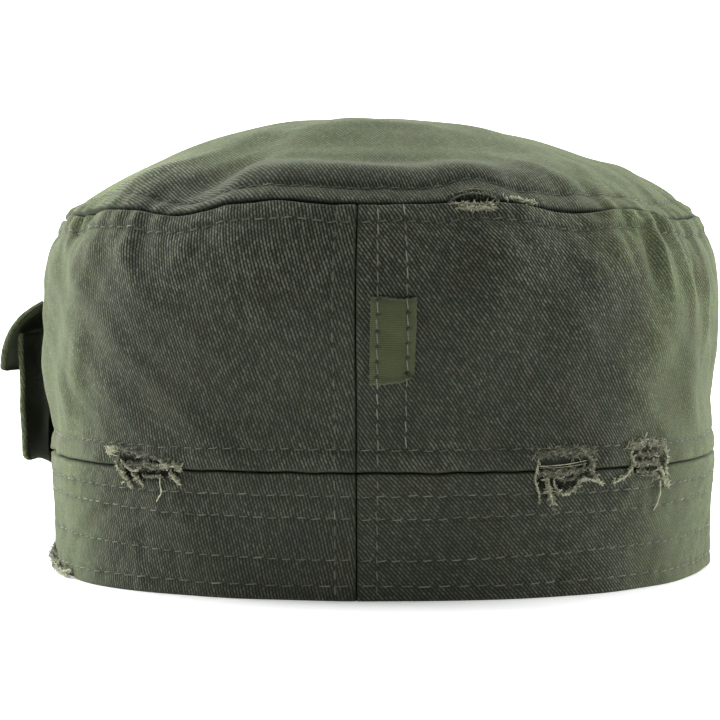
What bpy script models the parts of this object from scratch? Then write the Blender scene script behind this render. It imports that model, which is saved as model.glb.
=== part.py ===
"""Cadet cap of olive cotton twill, standing on its rim with the peak towards -Y.

The cap is cut and sewn. A lower band carries a side wall of three panels, an oval top panel
closes it, and a stiffened peak is set on the front of the band. A small bellows pocket with a
flap sits on the wearer's left (+X), and a blank woven tab is sewn beside the centre-back seam.

Every cloth piece starts as a flat slab of its own thickness and is then bent to its place.
Angles are in degrees round the cap, from the centre-back seam (+Y) towards the wearer's left.
Lengths are in metres.
"""

from collections import namedtuple
from math import cos, degrees, hypot, pi, radians, sin

import bmesh
import bpy
from mathutils import Vector

# Driving sizes of the crown
CROWN_WIDTH = 0.1788  # outside, across the rim
CROWN_LENGTH = 0.204  # outside, front to back at the rim
BACK_SQUARENESS = 0.034  # how far the oval's back corners stand out, as a share
FRONT_SQUARENESS = 0.006
BAND_HEIGHT = 0.0298  # rim to band seam
SIDE_HEIGHT = 0.0622  # band seam to top seam, at the back and sides
FRONT_RISE = 0.018  # how much higher the top seam stands at the front
FRONT_RISE_SPAN = 110.0  # angle each side of the front over which it rises
DOME_HEIGHT = 0.0215  # how far the soft top stands above its seam
DOME_FULLNESS = 0.8  # 0.5 is a full pillow, 1 a shallow bowl
MID_RISE = 0.0065  # height of the seam's own mid level above the back seam

# Cloth
SIDE_CLOTH = 0.0016  # side wall and top, cotton twill with its facing
BAND_CLOTH = 0.0024  # the band is doubled
SEAM_GAP = 0.00035  # between two pieces that are sewn together
SEAM_LEAN = 42.0  # lean of the wall at the top seam, from upright
FRONT_PANEL_SPAN = 110.0  # the front panel's share of the way round
COLUMN_ANGLE = 5.0  # one column of faces every so many degrees
BAND_ROWS = 4
SIDE_ROWS = 8

# Peak
PEAK_REACH = 0.056  # band to outer edge, at the middle
PEAK_FULLNESS = 2.35  # 2 is an elliptic outline, more is squarer
PEAK_END_WIDTH = 0.0018  # how wide it still is where it dies into the band
PEAK_CLOTH = 0.0032  # two plies round a stiffener
PEAK_HALF_ANGLE = 62.0  # the peak's root, each side of the front
PEAK_ARCH = 0.010  # how far its middle lifts the rim off the table
PEAK_TIP_HEIGHT = 0.0045  # underside of the outer edge, at the middle
PEAK_END_HEIGHT = 0.0004  # underside of the outer edge, at its ends
PEAK_COLUMNS = 26
PEAK_ROWS = 6

# Pocket on the wearer's left
POCKET_ANGLE = 101.0  # its middle
POCKET_WIDTH = 0.056
POCKET_HEIGHT = 0.031
POCKET_DEPTH = 0.0077  # how far its face stands off the side wall
POCKET_CLOTH = 0.0013
POCKET_CORNER = 0.003  # radius of its folded edges
POCKET_CUTS = 9  # cuts across it, so that it follows the wall
POCKET_ABOVE_BAND = 0.0005
FLAP_WIDTH = 0.061
FLAP_ABOVE_BAND = 0.0405  # its sewn edge above the band seam
FLAP_DROP = 0.0180
FLAP_DEPTH = 0.0122  # how far its free edge stands off the side wall
FLAP_CLOTH = 0.0018
FLAP_COLUMNS = 12
FLAP_ROWS = 8

# Woven tab beside the back seam
TAB_WIDTH = 0.0101
TAB_HEIGHT = 0.0202
TAB_CLOTH = 0.0007
TAB_FROM_SEAM = 0.0036
TAB_ABOVE_BAND = 0.0203

TOP_RINGS = 9
SEAM_LINE = 1.0  # share of the way from the middle of the top to its seam

# The wall from the rim up: how far it swells out, as a share of the crown's width.
Section = namedtuple("Section", "rise swell")
WALL_SECTIONS = (
    Section(0.00, 0.000),
    Section(0.18, 0.001),
    Section(0.33, 0.007),
    Section(0.48, 0.006),
    Section(0.64, 0.011),
    Section(0.78, 0.012),
    Section(0.88, 0.007),
    Section(0.95, -0.008),
    Section(1.00, -0.024),
)

# Where the soft top seam dips or lifts: lift is a share of the side's height, reach in degrees.
Wave = namedtuple("Wave", "angle reach lift")
SEAM_WAVES = (
    Wave(30.0, 9.5, -0.034),
    Wave(14.0, 13.0, 0.013),
    Wave(-19.0, 8.0, 0.016),
    Wave(-35.0, 13.0, -0.018),
    Wave(-62.0, 14.0, -0.020),
    Wave(112.0, 20.0, -0.018),
    Wave(-118.0, 18.0, -0.016),
)

# Soft dents of the side wall: rise and tall are shares of its height, depth of the crown's width.
Dent = namedtuple("Dent", "angle rise reach tall depth")
WALL_DENTS = (
    Dent(60.0, 0.68, 16.0, 0.34, 0.0045),
    Dent(84.0, 0.80, 22.0, 0.20, 0.0090),
    Dent(76.0, 0.06, 40.0, 0.26, 0.0105),
    Dent(-64.0, 0.00, 26.0, 0.20, 0.0050),
    Dent(-86.0, 0.44, 26.0, 0.22, 0.0045),
    Dent(-74.0, 0.55, 14.0, 0.30, 0.0060),
    Dent(-58.0, 0.72, 9.0, 0.26, -0.0040),
    Dent(-100.0, 0.70, 18.0, 0.34, -0.0040),
    Dent(150.0, 0.72, 16.0, 0.30, 0.0050),
    Dent(-152.0, 0.66, 16.0, 0.30, 0.0045),
)

# Folds of the top, each a hollow (or a ridge) along an arc round the middle: place and width are
# shares of the way from the middle to the seam, reach in degrees, depth of the dome's height.
Fold = namedtuple("Fold", "angle place reach width depth")
TOP_FOLDS = (
    Fold(4.0, 0.66, 62.0, 0.16, 0.085),
    Fold(0.0, 0.86, 66.0, 0.12, -0.080),
    Fold(34.0, 0.88, 17.0, 0.13, 0.150),
    Fold(82.0, 0.86, 34.0, 0.22, 0.075),
    Fold(92.0, 0.40, 62.0, 0.34, -0.040),
    Fold(-92.0, 0.42, 64.0, 0.36, 0.055),
    Fold(-44.0, 0.62, 30.0, 0.20, 0.060),
    Fold(-70.0, 0.82, 24.0, 0.16, -0.080),
    Fold(178.0, 0.62, 50.0, 0.20, 0.070),
)

# The flap seen from its side, from its sewn edge to its free edge, as shares of its depth and drop.
Bend = namedtuple("Bend", "out down")
FLAP_BENDS = (
    Bend(0.00, 0.00),
    Bend(0.26, 0.08),
    Bend(0.52, 0.23),
    Bend(0.74, 0.41),
    Bend(0.90, 0.63),
    Bend(0.98, 0.84),
    Bend(1.00, 1.00),
)

Finish = namedtuple("Finish", "colour roughness")
TWILL = Finish((0.088, 0.100, 0.068), 0.90)
BAND_TWILL = Finish((0.082, 0.094, 0.063), 0.90)
POCKET_TWILL = Finish((0.078, 0.092, 0.060), 0.92)
WOVEN_TAB = Finish((0.105, 0.128, 0.040), 0.75)


def mix(low, high, share):
    return low + (high - low) * share


def ease(share):
    """0 to 1 with level ends."""
    share = min(max(share, 0.0), 1.0)
    return share * share * (3 - 2 * share)


def bump(distance):
    """1 at 0, falling smoothly to 0 at 1 and beyond."""
    return (1 - distance * distance) ** 2 if abs(distance) < 1 else 0.0


def turn(angle):
    """The same angle between -180 and 180 degrees."""
    return (angle + 180) % 360 - 180


def along_table(rows, key, value, at):
    """Reads the column `value` of a table at `at` of its column `key`, on a smooth curve."""
    keys = [getattr(row, key) for row in rows]
    values = [getattr(row, value) for row in rows]
    at = min(max(at, keys[0]), keys[-1])
    after = next(i for i in range(1, len(keys)) if at <= keys[i])
    before = after - 1

    def slope(i):
        low, high = max(i - 1, 0), min(i + 1, len(keys) - 1)
        return (values[high] - values[low]) / (keys[high] - keys[low])

    span = keys[after] - keys[before]
    s = (at - keys[before]) / span
    rest = 1 - s
    return (
        values[before] * rest * rest * (1 + 2 * s)
        + values[after] * s * s * (3 - 2 * s)
        + span * s * rest * (slope(before) * rest - slope(after) * s)
    )


def outward(angle):
    """Level direction square to the cap's oval."""
    a = radians(angle)
    return Vector((sin(a) / CROWN_WIDTH, cos(a) / CROWN_LENGTH, 0)).normalized()


def rim_point(angle):
    a = radians(angle)
    squareness = BACK_SQUARENESS if cos(a) > 0 else FRONT_SQUARENESS
    stretch = 1 + squareness * sin(2 * a) ** 2
    return Vector((sin(a) * CROWN_WIDTH / 2, cos(a) * CROWN_LENGTH / 2, 0)) * stretch


def angle_after(angle, distance):
    """The angle reached by going this far round the rim."""
    a = radians(angle)
    per_radian = hypot(cos(a) * CROWN_WIDTH / 2, sin(a) * CROWN_LENGTH / 2)
    return angle + degrees(distance / per_radian)


def rim_height(angle):
    """The rim stands on the table except at the front, where the peak arches it up."""
    return PEAK_ARCH * bump(turn(angle - 180) / PEAK_HALF_ANGLE)


def band_seam_height(angle):
    return BAND_HEIGHT + rim_height(angle) / 2


def top_seam_height(angle):
    waves = sum(w.lift * bump(turn(angle - w.angle) / w.reach) for w in SEAM_WAVES)
    rise = FRONT_RISE * bump(turn(angle - 180) / FRONT_RISE_SPAN)
    return BAND_HEIGHT + SIDE_HEIGHT * (1 + waves) + rise


def wall_point(angle, height, out):
    """A point of the side wall or band, `out` outside the cloth's face."""
    low, high = rim_height(angle), top_seam_height(angle)
    rise = (height - low) / (high - low)
    swell = along_table(WALL_SECTIONS, "rise", "swell", rise)
    swell -= sum(
        d.depth * bump(turn(angle - d.angle) / d.reach) * bump((rise - d.rise) / d.tall)
        for d in WALL_DENTS
    )
    lean = radians(SEAM_LEAN) * ease((rise - 0.75) / 0.25)
    face = rim_point(angle) + outward(angle) * swell * CROWN_WIDTH
    return face + outward(angle) * cos(lean) * out + Vector((0, 0, height + sin(lean) * out))


def top_point(angle, share, out):
    """A point of the top panel, `share` of the way from its middle to its seam."""
    edge = wall_point(angle, top_seam_height(angle), 0)
    inside = max(1 - share * share, 0.0)
    middle = BAND_HEIGHT + SIDE_HEIGHT + MID_RISE
    folds = sum(
        f.depth * bump(turn(angle - f.angle) / f.reach) * bump((share - f.place) / f.width)
        for f in TOP_FOLDS
    )
    height = mix(edge.z, middle, inside) + DOME_HEIGHT * (inside**DOME_FULLNESS - folds)
    upright = radians(mix(90, SEAM_LEAN, ease((share - 0.7) / 0.3)))
    face = Vector((edge.x * share, edge.y * share, height))
    return face + (outward(angle) * cos(upright) + Vector((0, 0, sin(upright)))) * out


def flat_slab(columns, rows):
    """A flat rectangle of cloth from (0, 0) to (1, 1), one unit thick and face up at 0."""
    slab = bmesh.new()
    bmesh.ops.create_grid(slab, x_segments=columns, y_segments=rows, size=0.5)
    bmesh.ops.translate(slab, verts=slab.verts, vec=(0.5, 0.5, 0))
    return thickened(slab)


def flat_disc(segments, rings):
    """A flat disc of cloth of radius 1, one unit thick, its rings closer towards the edge."""
    disc = bmesh.new()
    bmesh.ops.create_circle(disc, segments=segments, radius=1, cap_ends=True)
    disc.faces.ensure_lookup_table()
    middle = disc.faces[0]
    radius = SEAM_LINE
    for ring in range(1, rings + 1):
        smaller = cos(pi / 2 * ring / (rings + 1)) ** 0.7
        bmesh.ops.inset_region(disc, faces=[middle], thickness=radius - smaller, use_boundary=True)
        radius = smaller
    bmesh.ops.poke(disc, faces=[middle])
    return thickened(disc)


def thickened(sheet):
    """Gives a flat sheet its thickness, from z = 0 down to z = -1, with its faces outwards."""
    below = bmesh.ops.extrude_face_region(sheet, geom=sheet.faces[:])
    moved = [v for v in below["geom"] if isinstance(v, bmesh.types.BMVert)]
    bmesh.ops.translate(sheet, verts=moved, vec=(0, 0, -1))
    bmesh.ops.recalc_face_normals(sheet, faces=sheet.faces[:])
    return sheet


def finished(name, shape, finish, centre):
    """Turns a bmesh into a named object with its own material, placed under the cap's centre."""
    mesh = bpy.data.meshes.new(name)
    shape.to_mesh(mesh)
    shape.free()
    mesh.shade_smooth()
    mesh.set_sharp_from_angle(angle=radians(40))
    material = bpy.data.materials.new(name)
    material.use_nodes = True
    shader = material.node_tree.nodes["Principled BSDF"]
    shader.inputs["Base Color"].default_value = (*finish.colour, 1)
    shader.inputs["Roughness"].default_value = finish.roughness
    shader.inputs["Metallic"].default_value = 0
    mesh.materials.append(material)
    piece = bpy.data.objects.new(name, mesh)
    bpy.data.collections["cadet_cap"].objects.link(piece)
    piece.parent = centre
    return piece


def bend(shape, place):
    """Moves each corner of a flat slab to place(u, v, depth), with u to the right from outside."""
    for corner in shape.verts:
        u, v, z = corner.co
        corner.co = place(u, v, -z)


def columns_for(span):
    return max(round(span / COLUMN_ANGLE), 3)


def wall_panel(name, start, end, finish, centre):
    """One panel of the side wall, from the band seam to the top seam."""
    gap = angle_after(0, SEAM_GAP / 2)

    def place(u, v, depth):
        angle = mix(end - gap, start + gap, u)
        low = band_seam_height(angle) + SEAM_GAP / 2
        high = top_seam_height(angle) - SEAM_GAP / 2
        return wall_point(angle, mix(low, high, v), -depth * SIDE_CLOTH)

    shape = flat_slab(columns_for(end - start), SIDE_ROWS)
    bend(shape, place)
    return finished(name, shape, finish, centre)


def lower_band(centre):
    """One strip round the rim, whose two ends meet at the centre-back seam."""
    gap = angle_after(0, SEAM_GAP / 2)

    def place(u, v, depth):
        angle = mix(360 - gap, gap, u)
        high = band_seam_height(angle) - SEAM_GAP / 2
        return wall_point(angle, mix(rim_height(angle), high, v), -depth * BAND_CLOTH)

    shape = flat_slab(columns_for(360), BAND_ROWS)
    bend(shape, place)
    return finished("band", shape, BAND_TWILL, centre)


def top_panel(centre):
    """The oval top, soft and domed, sewn to the wall all round."""
    edge = 1 - SEAM_GAP / CROWN_WIDTH

    def place(x, y, depth):
        angle = degrees(Vector((0, 1)).angle_signed(Vector((x, y)), 0)) if hypot(x, y) > 0 else 0
        return top_point(angle, min(hypot(x, y), SEAM_LINE) * edge, -depth * SIDE_CLOTH)

    shape = flat_disc(columns_for(360), TOP_RINGS)
    bend(shape, place)
    return finished("crown_top", shape, TWILL, centre)


def peak(centre):
    """A crescent whose root follows the front of the band and whose middle is arched."""

    def place(u, v, depth):
        side = 2 * u - 1
        angle = 180 + PEAK_HALF_ANGLE * side
        root = wall_point(angle, rim_height(angle), SEAM_GAP)
        across = sin(pi / 2 * side)
        forward = max(1 - abs(across) ** PEAK_FULLNESS, 0) ** (1 / PEAK_FULLNESS)
        tip_y = root_end.y - (PEAK_REACH + root_end.y - front.y) * forward
        tip_low = mix(PEAK_END_HEIGHT, PEAK_TIP_HEIGHT, bump(side))
        tip = Vector((-across * (root_end.x + PEAK_END_WIDTH), tip_y, tip_low))
        low = mix(root, tip, v)
        low.z += bump(side) * PEAK_CLOTH * sin(pi * v)
        return low + Vector((0, 0, (1 - depth) * PEAK_CLOTH))

    front = wall_point(180, rim_height(180), 0)
    root_end = wall_point(180 - PEAK_HALF_ANGLE, 0, 0)
    shape = flat_slab(PEAK_COLUMNS, PEAK_ROWS)
    bend(shape, place)
    return finished("peak", shape, BAND_TWILL, centre)


def beside(angle, above_band):
    """Lays a patch on the wall, seen from outside: (right, up, out) from its lower middle."""

    def place(right, up, out):
        at = angle_after(angle, -right)
        return wall_point(at, BAND_HEIGHT + above_band + up, SEAM_GAP + out)

    return place


def pocket(centre):
    """A small bellows pocket: a tray of cloth, open at its mouth and against the wall."""
    tray = bmesh.new()
    bmesh.ops.create_cube(tray, size=1)
    bmesh.ops.scale(tray, verts=tray.verts, vec=(POCKET_WIDTH, POCKET_HEIGHT, POCKET_DEPTH))
    bmesh.ops.translate(tray, verts=tray.verts, vec=(0, POCKET_HEIGHT / 2, POCKET_DEPTH / 2))
    tray.normal_update()
    open_sides = [f for f in tray.faces if f.normal.z < -0.5 or f.normal.y > 0.5]
    bmesh.ops.delete(tray, geom=open_sides, context="FACES_ONLY")
    creases = [e for e in tray.edges if len(e.link_faces) == 2]
    bmesh.ops.bevel(
        tray, geom=creases, offset=POCKET_CORNER, offset_type="OFFSET", segments=2, profile=0.5, affect="EDGES"
    )
    for cut in range(1, POCKET_CUTS + 1):
        at = mix(-POCKET_WIDTH / 2, POCKET_WIDTH / 2, cut / (POCKET_CUTS + 1))
        bmesh.ops.bisect_plane(
            tray, geom=tray.verts[:] + tray.edges[:] + tray.faces[:], plane_co=(at, 0, 0), plane_no=(1, 0, 0)
        )
    place = beside(POCKET_ANGLE, POCKET_ABOVE_BAND)
    for corner in tray.verts:
        corner.co = place(*corner.co)
    piece = finished("pocket", tray, POCKET_TWILL, centre)
    solidify = piece.modifiers.new("cloth", "SOLIDIFY")
    solidify.thickness = POCKET_CLOTH
    solidify.offset = -1
    solidify.use_even_offset = True
    return piece


def pocket_flap(centre):
    """The flap starts flat on the wall above the pocket, bends out and hangs over its mouth."""
    place = beside(POCKET_ANGLE, FLAP_ABOVE_BAND)

    def bent(u, v, depth):
        out = along_table(FLAP_BENDS, "down", "out", 1 - v) if v < 1 else 0.0
        down = 1 - v
        cloth = (1 - depth) * FLAP_CLOTH
        return place((u - 0.5) * FLAP_WIDTH, -down * FLAP_DROP, out * (FLAP_DEPTH - FLAP_CLOTH) + cloth)

    shape = flat_slab(FLAP_COLUMNS, FLAP_ROWS)
    bend(shape, bent)
    return finished("pocket_flap", shape, POCKET_TWILL, centre)


def woven_tab(centre):
    """A blank tab of woven tape, sewn flat on the wearer's right of the back seam."""
    place = beside(angle_after(0, -TAB_FROM_SEAM - TAB_WIDTH / 2), TAB_ABOVE_BAND)

    def laid(u, v, depth):
        return place((u - 0.5) * TAB_WIDTH, v * TAB_HEIGHT, (1 - depth) * TAB_CLOTH)

    shape = flat_slab(3, 5)
    bend(shape, laid)
    return finished("woven_tab", shape, WOVEN_TAB, centre)


def clear_scene():
    for leftover in list(bpy.data.objects):
        bpy.data.objects.remove(leftover, do_unlink=True)


def cap_centre():
    """The empty that carries the cap, placed so that the origin lies under its middle."""
    collection = bpy.data.collections.new("cadet_cap")
    bpy.context.scene.collection.children.link(collection)
    centre = bpy.data.objects.new("cap_centre", None)
    collection.objects.link(centre)
    fullest = max(section.swell for section in WALL_SECTIONS) * CROWN_WIDTH
    centre.location = (-FLAP_DEPTH / 2, (PEAK_REACH - fullest) / 2, 0)
    return centre


def main():
    clear_scene()
    centre = cap_centre()
    side_seam = 180 - FRONT_PANEL_SPAN / 2
    lower_band(centre)
    wall_panel("back_panel_left", 0, side_seam, TWILL, centre)
    wall_panel("front_panel", side_seam, 360 - side_seam, TWILL, centre)
    wall_panel("back_panel_right", 360 - side_seam, 360, TWILL, centre)
    top_panel(centre)
    peak(centre)
    pocket(centre)
    pocket_flap(centre)
    woven_tab(centre)


main()
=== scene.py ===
from math import cos, hypot, pi, radians, sin

import bpy
import numpy as np
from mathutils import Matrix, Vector


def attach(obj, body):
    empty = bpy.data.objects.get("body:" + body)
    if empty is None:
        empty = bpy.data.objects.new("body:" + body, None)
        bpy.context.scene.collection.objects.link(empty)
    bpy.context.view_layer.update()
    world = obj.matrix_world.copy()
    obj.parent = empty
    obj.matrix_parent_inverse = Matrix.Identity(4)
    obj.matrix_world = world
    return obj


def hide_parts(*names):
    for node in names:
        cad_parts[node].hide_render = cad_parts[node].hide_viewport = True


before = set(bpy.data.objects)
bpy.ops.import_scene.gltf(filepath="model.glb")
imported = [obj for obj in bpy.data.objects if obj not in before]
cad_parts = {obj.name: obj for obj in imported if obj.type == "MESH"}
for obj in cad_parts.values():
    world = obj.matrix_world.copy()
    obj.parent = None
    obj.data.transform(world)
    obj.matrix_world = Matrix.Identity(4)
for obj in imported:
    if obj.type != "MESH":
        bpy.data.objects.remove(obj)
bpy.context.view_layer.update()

# Viewpoint
# The cap stands on a white table, seen from behind at the height of its middle, from about 0.6 m
# and a little to the wearer's right of the back seam.
FRAME_PIXELS = 720
FOCAL_PIXELS = 2284.0
CAP_AXIS_PIXEL = 381.0
HORIZON_PIXEL = 317.0
CROWN_CENTRE = Vector((-0.0061, 0.02693, 0.0))
AXIS = np.array(CROWN_CENTRE)
EYE_FROM_CENTRE = Vector((-0.035, 0.627, 0.0657))

camera = bpy.data.objects.new("camera", bpy.data.cameras.new("camera"))
bpy.context.scene.collection.objects.link(camera)
bpy.context.scene.camera = camera
camera.data.lens = camera.data.sensor_width * FOCAL_PIXELS / FRAME_PIXELS
camera.data.clip_start, camera.data.clip_end = 0.01, 20
camera.location = CROWN_CENTRE + EYE_FROM_CENTRE
level = Vector((-EYE_FROM_CENTRE.x, -EYE_FROM_CENTRE.y, 0)).normalized()
to_right = level.cross(Vector((0, 0, 1)))
aside = (CAP_AXIS_PIXEL - FRAME_PIXELS / 2) / FOCAL_PIXELS
down = (FRAME_PIXELS / 2 - HORIZON_PIXEL) / FOCAL_PIXELS
gaze = level - to_right * aside - Vector((0, 0, down))
camera.rotation_euler = gaze.to_track_quat("-Z", "Y").to_euler()

# Lower band
# One strip of doubled cotton twill round the head. Its ends meet at the centre-back seam, its
# upper edge is sewn to the side wall in a deep groove, and rows of topstitching run round it.
CROWN_WIDTH = 0.1788
CROWN_LENGTH = 0.204
BACK_SQUARENESS = 0.034
FRONT_SQUARENESS = 0.006
BAND_HEIGHT = 0.0298
SIDE_HEIGHT = 0.0622
FRONT_RISE = 0.018
FRONT_RISE_SPAN = 110.0
PEAK_HALF_ANGLE = 62.0
PEAK_ARCH = 0.010
SEAM_GAP = 0.00035
SEAM_LEAN = 42.0
BAND_CLOTH = 0.0024
SIDE_CLOTH = 0.0016

# The wall from the rim up: share of its height, and how far it swells out, in crown widths.
WALL_SWELL = (
    (0.00, 0.000), (0.18, 0.001), (0.33, 0.007), (0.48, 0.006), (0.64, 0.011),
    (0.78, 0.012), (0.88, 0.007), (0.95, -0.008), (1.00, -0.024),
)
# Angle, reach in degrees and lift in side heights of each dip or rise of the top seam.
SEAM_WAVES = (
    (30.0, 9.5, -0.034), (14.0, 13.0, 0.013), (-19.0, 8.0, 0.016), (-35.0, 13.0, -0.018),
    (-62.0, 14.0, -0.020), (112.0, 20.0, -0.018), (-118.0, 18.0, -0.016),
)
# Angle, rise, reach, tallness and depth of each soft dent of the wall.
WALL_DENTS = (
    (60.0, 0.68, 16.0, 0.34, 0.0045), (84.0, 0.80, 22.0, 0.20, 0.0090), (76.0, 0.06, 40.0, 0.26, 0.0105),
    (-64.0, 0.00, 26.0, 0.20, 0.0050), (-86.0, 0.44, 26.0, 0.22, 0.0045), (-74.0, 0.55, 14.0, 0.30, 0.0060),
    (-58.0, 0.72, 9.0, 0.26, -0.0040), (-100.0, 0.70, 18.0, 0.34, -0.0040), (150.0, 0.72, 16.0, 0.30, 0.0050),
    (-152.0, 0.66, 16.0, 0.30, 0.0045),
)


def bump(distance):
    """1 at 0, falling smoothly to 0 at 1 and beyond."""
    return np.clip(1 - np.square(distance), 0, None) ** 2


def ease(share):
    share = np.clip(share, 0, 1)
    return share * share * (3 - 2 * share)


def turn(angle):
    return (angle + 180) % 360 - 180


def around(angle, at, reach):
    """1 at one angle, falling to 0 at `reach` degrees each side of it."""
    return bump(turn(angle - at) / reach)


def fades(distance, start, reach):
    """1 up to the start, falling to 0 over its reach."""
    return 1 - ease((distance - start) / reach)


def curve(table, at):
    """Reads a table of (place, value) at `at`, on a smooth curve through its rows."""
    keys, values = np.array(table, float).T
    at = np.clip(at, keys[0], keys[-1])
    ends = np.concatenate(([0], np.arange(len(keys) - 2), [len(keys) - 2]))
    nexts = np.concatenate(([1], np.arange(2, len(keys)), [len(keys) - 1]))
    slopes = (values[nexts] - values[ends]) / (keys[nexts] - keys[ends])
    after = np.clip(np.searchsorted(keys, at, side="left"), 1, len(keys) - 1)
    before = after - 1
    span = keys[after] - keys[before]
    s = (at - keys[before]) / span
    rest = 1 - s
    return (
        values[before] * rest * rest * (1 + 2 * s)
        + values[after] * s * s * (3 - 2 * s)
        + span * s * rest * (slopes[before] * rest - slopes[after] * s)
    )


def outward(angle):
    """Level direction out of the cap."""
    a = np.radians(angle)
    level_out = np.stack((np.sin(a) / CROWN_WIDTH, np.cos(a) / CROWN_LENGTH, 0 * a), -1)
    return level_out / np.linalg.norm(level_out, axis=-1, keepdims=True)


def rim_point(angle):
    """Points of the rim on the table, round the middle of the cap."""
    a = np.radians(angle)
    squareness = np.where(np.cos(a) > 0, BACK_SQUARENESS, FRONT_SQUARENESS)
    stretch = 1 + squareness * np.sin(2 * a) ** 2
    round_point = np.stack((np.sin(a) * CROWN_WIDTH / 2, np.cos(a) * CROWN_LENGTH / 2, 0 * a), -1)
    return round_point * stretch[..., None]


# How far round the rim each angle lies, so that cloth can be laid out by its length.
arc_angles = np.arange(-400, 401, 0.5)
arc_steps = np.linalg.norm(np.diff(rim_point(arc_angles), axis=0), axis=1)
arc_lengths = np.concatenate(([0], np.cumsum(arc_steps)))
arc_lengths -= np.interp(0, arc_angles, arc_lengths)


def round_rim(angle):
    """Distance round the rim from the back seam, in metres."""
    return np.interp(angle, arc_angles, arc_lengths)


def angle_at(distance):
    return np.interp(distance, arc_lengths, arc_angles)


def rim_height(angle):
    """The peak arches the rim off the table in front."""
    return PEAK_ARCH * around(angle, 180, PEAK_HALF_ANGLE)


def band_seam_height(angle):
    wandering = 0.00012 * ripple(angle, 18, 80, 61) + 0.0008 * around(angle, -88, 40)
    wandering = wandering + 0.0005 * around(angle, 65, 40)
    return BAND_HEIGHT + rim_height(angle) / 2 + wandering


def top_seam_height(angle):
    waves = sum(lift * around(angle, at, reach) for at, reach, lift in SEAM_WAVES)
    return BAND_HEIGHT + SIDE_HEIGHT * (1 + waves) + FRONT_RISE * around(angle, 180, FRONT_RISE_SPAN)


def wall_point(angle, height, out):
    """Points of the side wall or band, `out` outside the plain form of the cap."""
    low, high = rim_height(angle), top_seam_height(angle)
    rise = (height - low) / (high - low)
    swell = curve(WALL_SWELL, rise) - sum(
        depth * around(angle, at, reach) * bump((rise - up) / tall)
        for at, up, reach, tall, depth in WALL_DENTS
    )
    lean = np.radians(SEAM_LEAN) * ease((rise - 0.75) / 0.25)
    level_out = swell * CROWN_WIDTH + np.cos(lean) * out
    point = rim_point(angle) + outward(angle) * level_out[..., None]
    point[..., 2] += height + np.sin(lean) * out
    return point + AXIS


def ripple(angle, coarsest, finest, seed):
    """A wandering wave round the cap, with so many waves to the turn, mostly between -1 and 1."""
    draw = np.random.default_rng(seed)
    waves = draw.integers(coarsest, finest, 10)
    phases = draw.uniform(0, 2 * pi, 10)
    return sum(np.sin(np.radians(angle) * w + p) for w, p in zip(waves, phases)) / 3.2


def walk_along(start, end, stride):
    """Places from start to end, each one stride after the last, drawn in a little so that they end there."""
    places = [start]
    while places[-1] < end:
        places.append(places[-1] + stride(places[-1]))
    places = np.array(places)
    return start + (places - start) * (end - start) / (places[-1] - start)


def by_lines(place, lines, reach):
    return any(abs(place - line) < reach for line in lines)


def steps(start, end, coarse, fine, lines, reach):
    """Places from start to end, close together near the given lines."""
    return walk_along(start, end, lambda place: fine if by_lines(place, lines, reach) else coarse)


def spread_rows(low, high, nominal, row):
    """Heights of rows laid out on a strip of nominal depth, where it is really low to high deep."""
    return low + row + (high - low - nominal) * ease((row / nominal - 0.3) / 0.4)


def rolled(distance, radius):
    """How far an edge has turned inwards, this far from its end."""
    into = np.clip(radius - distance, 0, radius)
    return radius - np.sqrt(radius * radius - into * into)


def shut(grid, low, high, amount):
    """The same places with their first and last rows moved apart, so that linings meet behind a seam."""
    grid = np.array(grid)
    grid[0] += low * amount
    grid[-1] += high * amount
    return grid


def furrow(distance, width):
    """1 at 0, falling off on both sides over about a width."""
    return np.exp(-np.square(distance / width))


MASK_INSIDE = 0.4  # how much of the outside's wear and shade the inside has


def cloth(name, outside, inside, pattern, masks, materials, slot, *nodes, closed=False, shade_inside=0.0):
    """A closed piece of cloth from two grids of points, with its flat pattern as UVs."""
    rows, columns = outside.shape[:2]
    index = np.arange(rows * columns).reshape(rows, columns)
    if closed:
        index = np.concatenate((index, index[:, :1]), axis=1)
    quads = np.stack((index[:-1, :-1], index[:-1, 1:], index[1:, 1:], index[1:, :-1]), -1).reshape(-1, 4)
    count = rows * columns
    rims = [(index[0, 1:], index[0, :-1], (0, -1)), (index[-1, :-1], index[-1, 1:], (0, 1))]
    if not closed:
        rims += [(index[:-1, 0], index[1:, 0], (-1, 0)), (index[1:, -1], index[:-1, -1], (1, 0))]
    edges = [np.stack((a, b, b + count, a + count), -1) for a, b, _ in rims]
    faces = np.concatenate([quads, quads[:, ::-1] + count, *edges])
    mesh = bpy.data.meshes.new(name)
    points = np.concatenate((outside.reshape(-1, 3), inside.reshape(-1, 3)))
    mesh.from_pydata(points.tolist(), [], faces.tolist())
    flat = pattern.reshape(-1, 2)
    corners = [flat[quads], flat[quads[:, ::-1]]]
    for a, b, over in rims:
        # The pattern runs on over the edge by the cloth's thickness.
        turned = np.linalg.norm(points[a] - points[a + count], axis=1)[:, None] * over
        corners.append(np.stack((flat[a], flat[b], flat[b] + turned, flat[a] + turned), 1))
    corners = np.concatenate(corners).astype(np.float32)
    mesh.uv_layers.new(name="pattern").data.foreach_set("uv", corners.ravel())
    for key, mask in masks.items():
        within = mask.ravel() * MASK_INSIDE
        # A lining can take painted shade of its own, darker than its outside.
        if key == "shade":
            within = np.maximum(within, shade_inside)
        both = np.concatenate((mask.ravel(), within))
        mesh.attributes.new(key, "FLOAT", "POINT").data.foreach_set("value", both.astype(np.float32))
    mesh.shade_smooth()
    for material in materials:
        mesh.materials.append(material)
    return settle(bpy.data.objects.new(name, mesh), slot, *nodes)


def settle(piece, slot, *nodes):
    """Puts a piece on the cap and hides the plain solids it stands for."""
    bpy.context.scene.collection.objects.link(piece)
    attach(piece, "root")
    if nodes:
        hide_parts(*nodes)
    return piece


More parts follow.
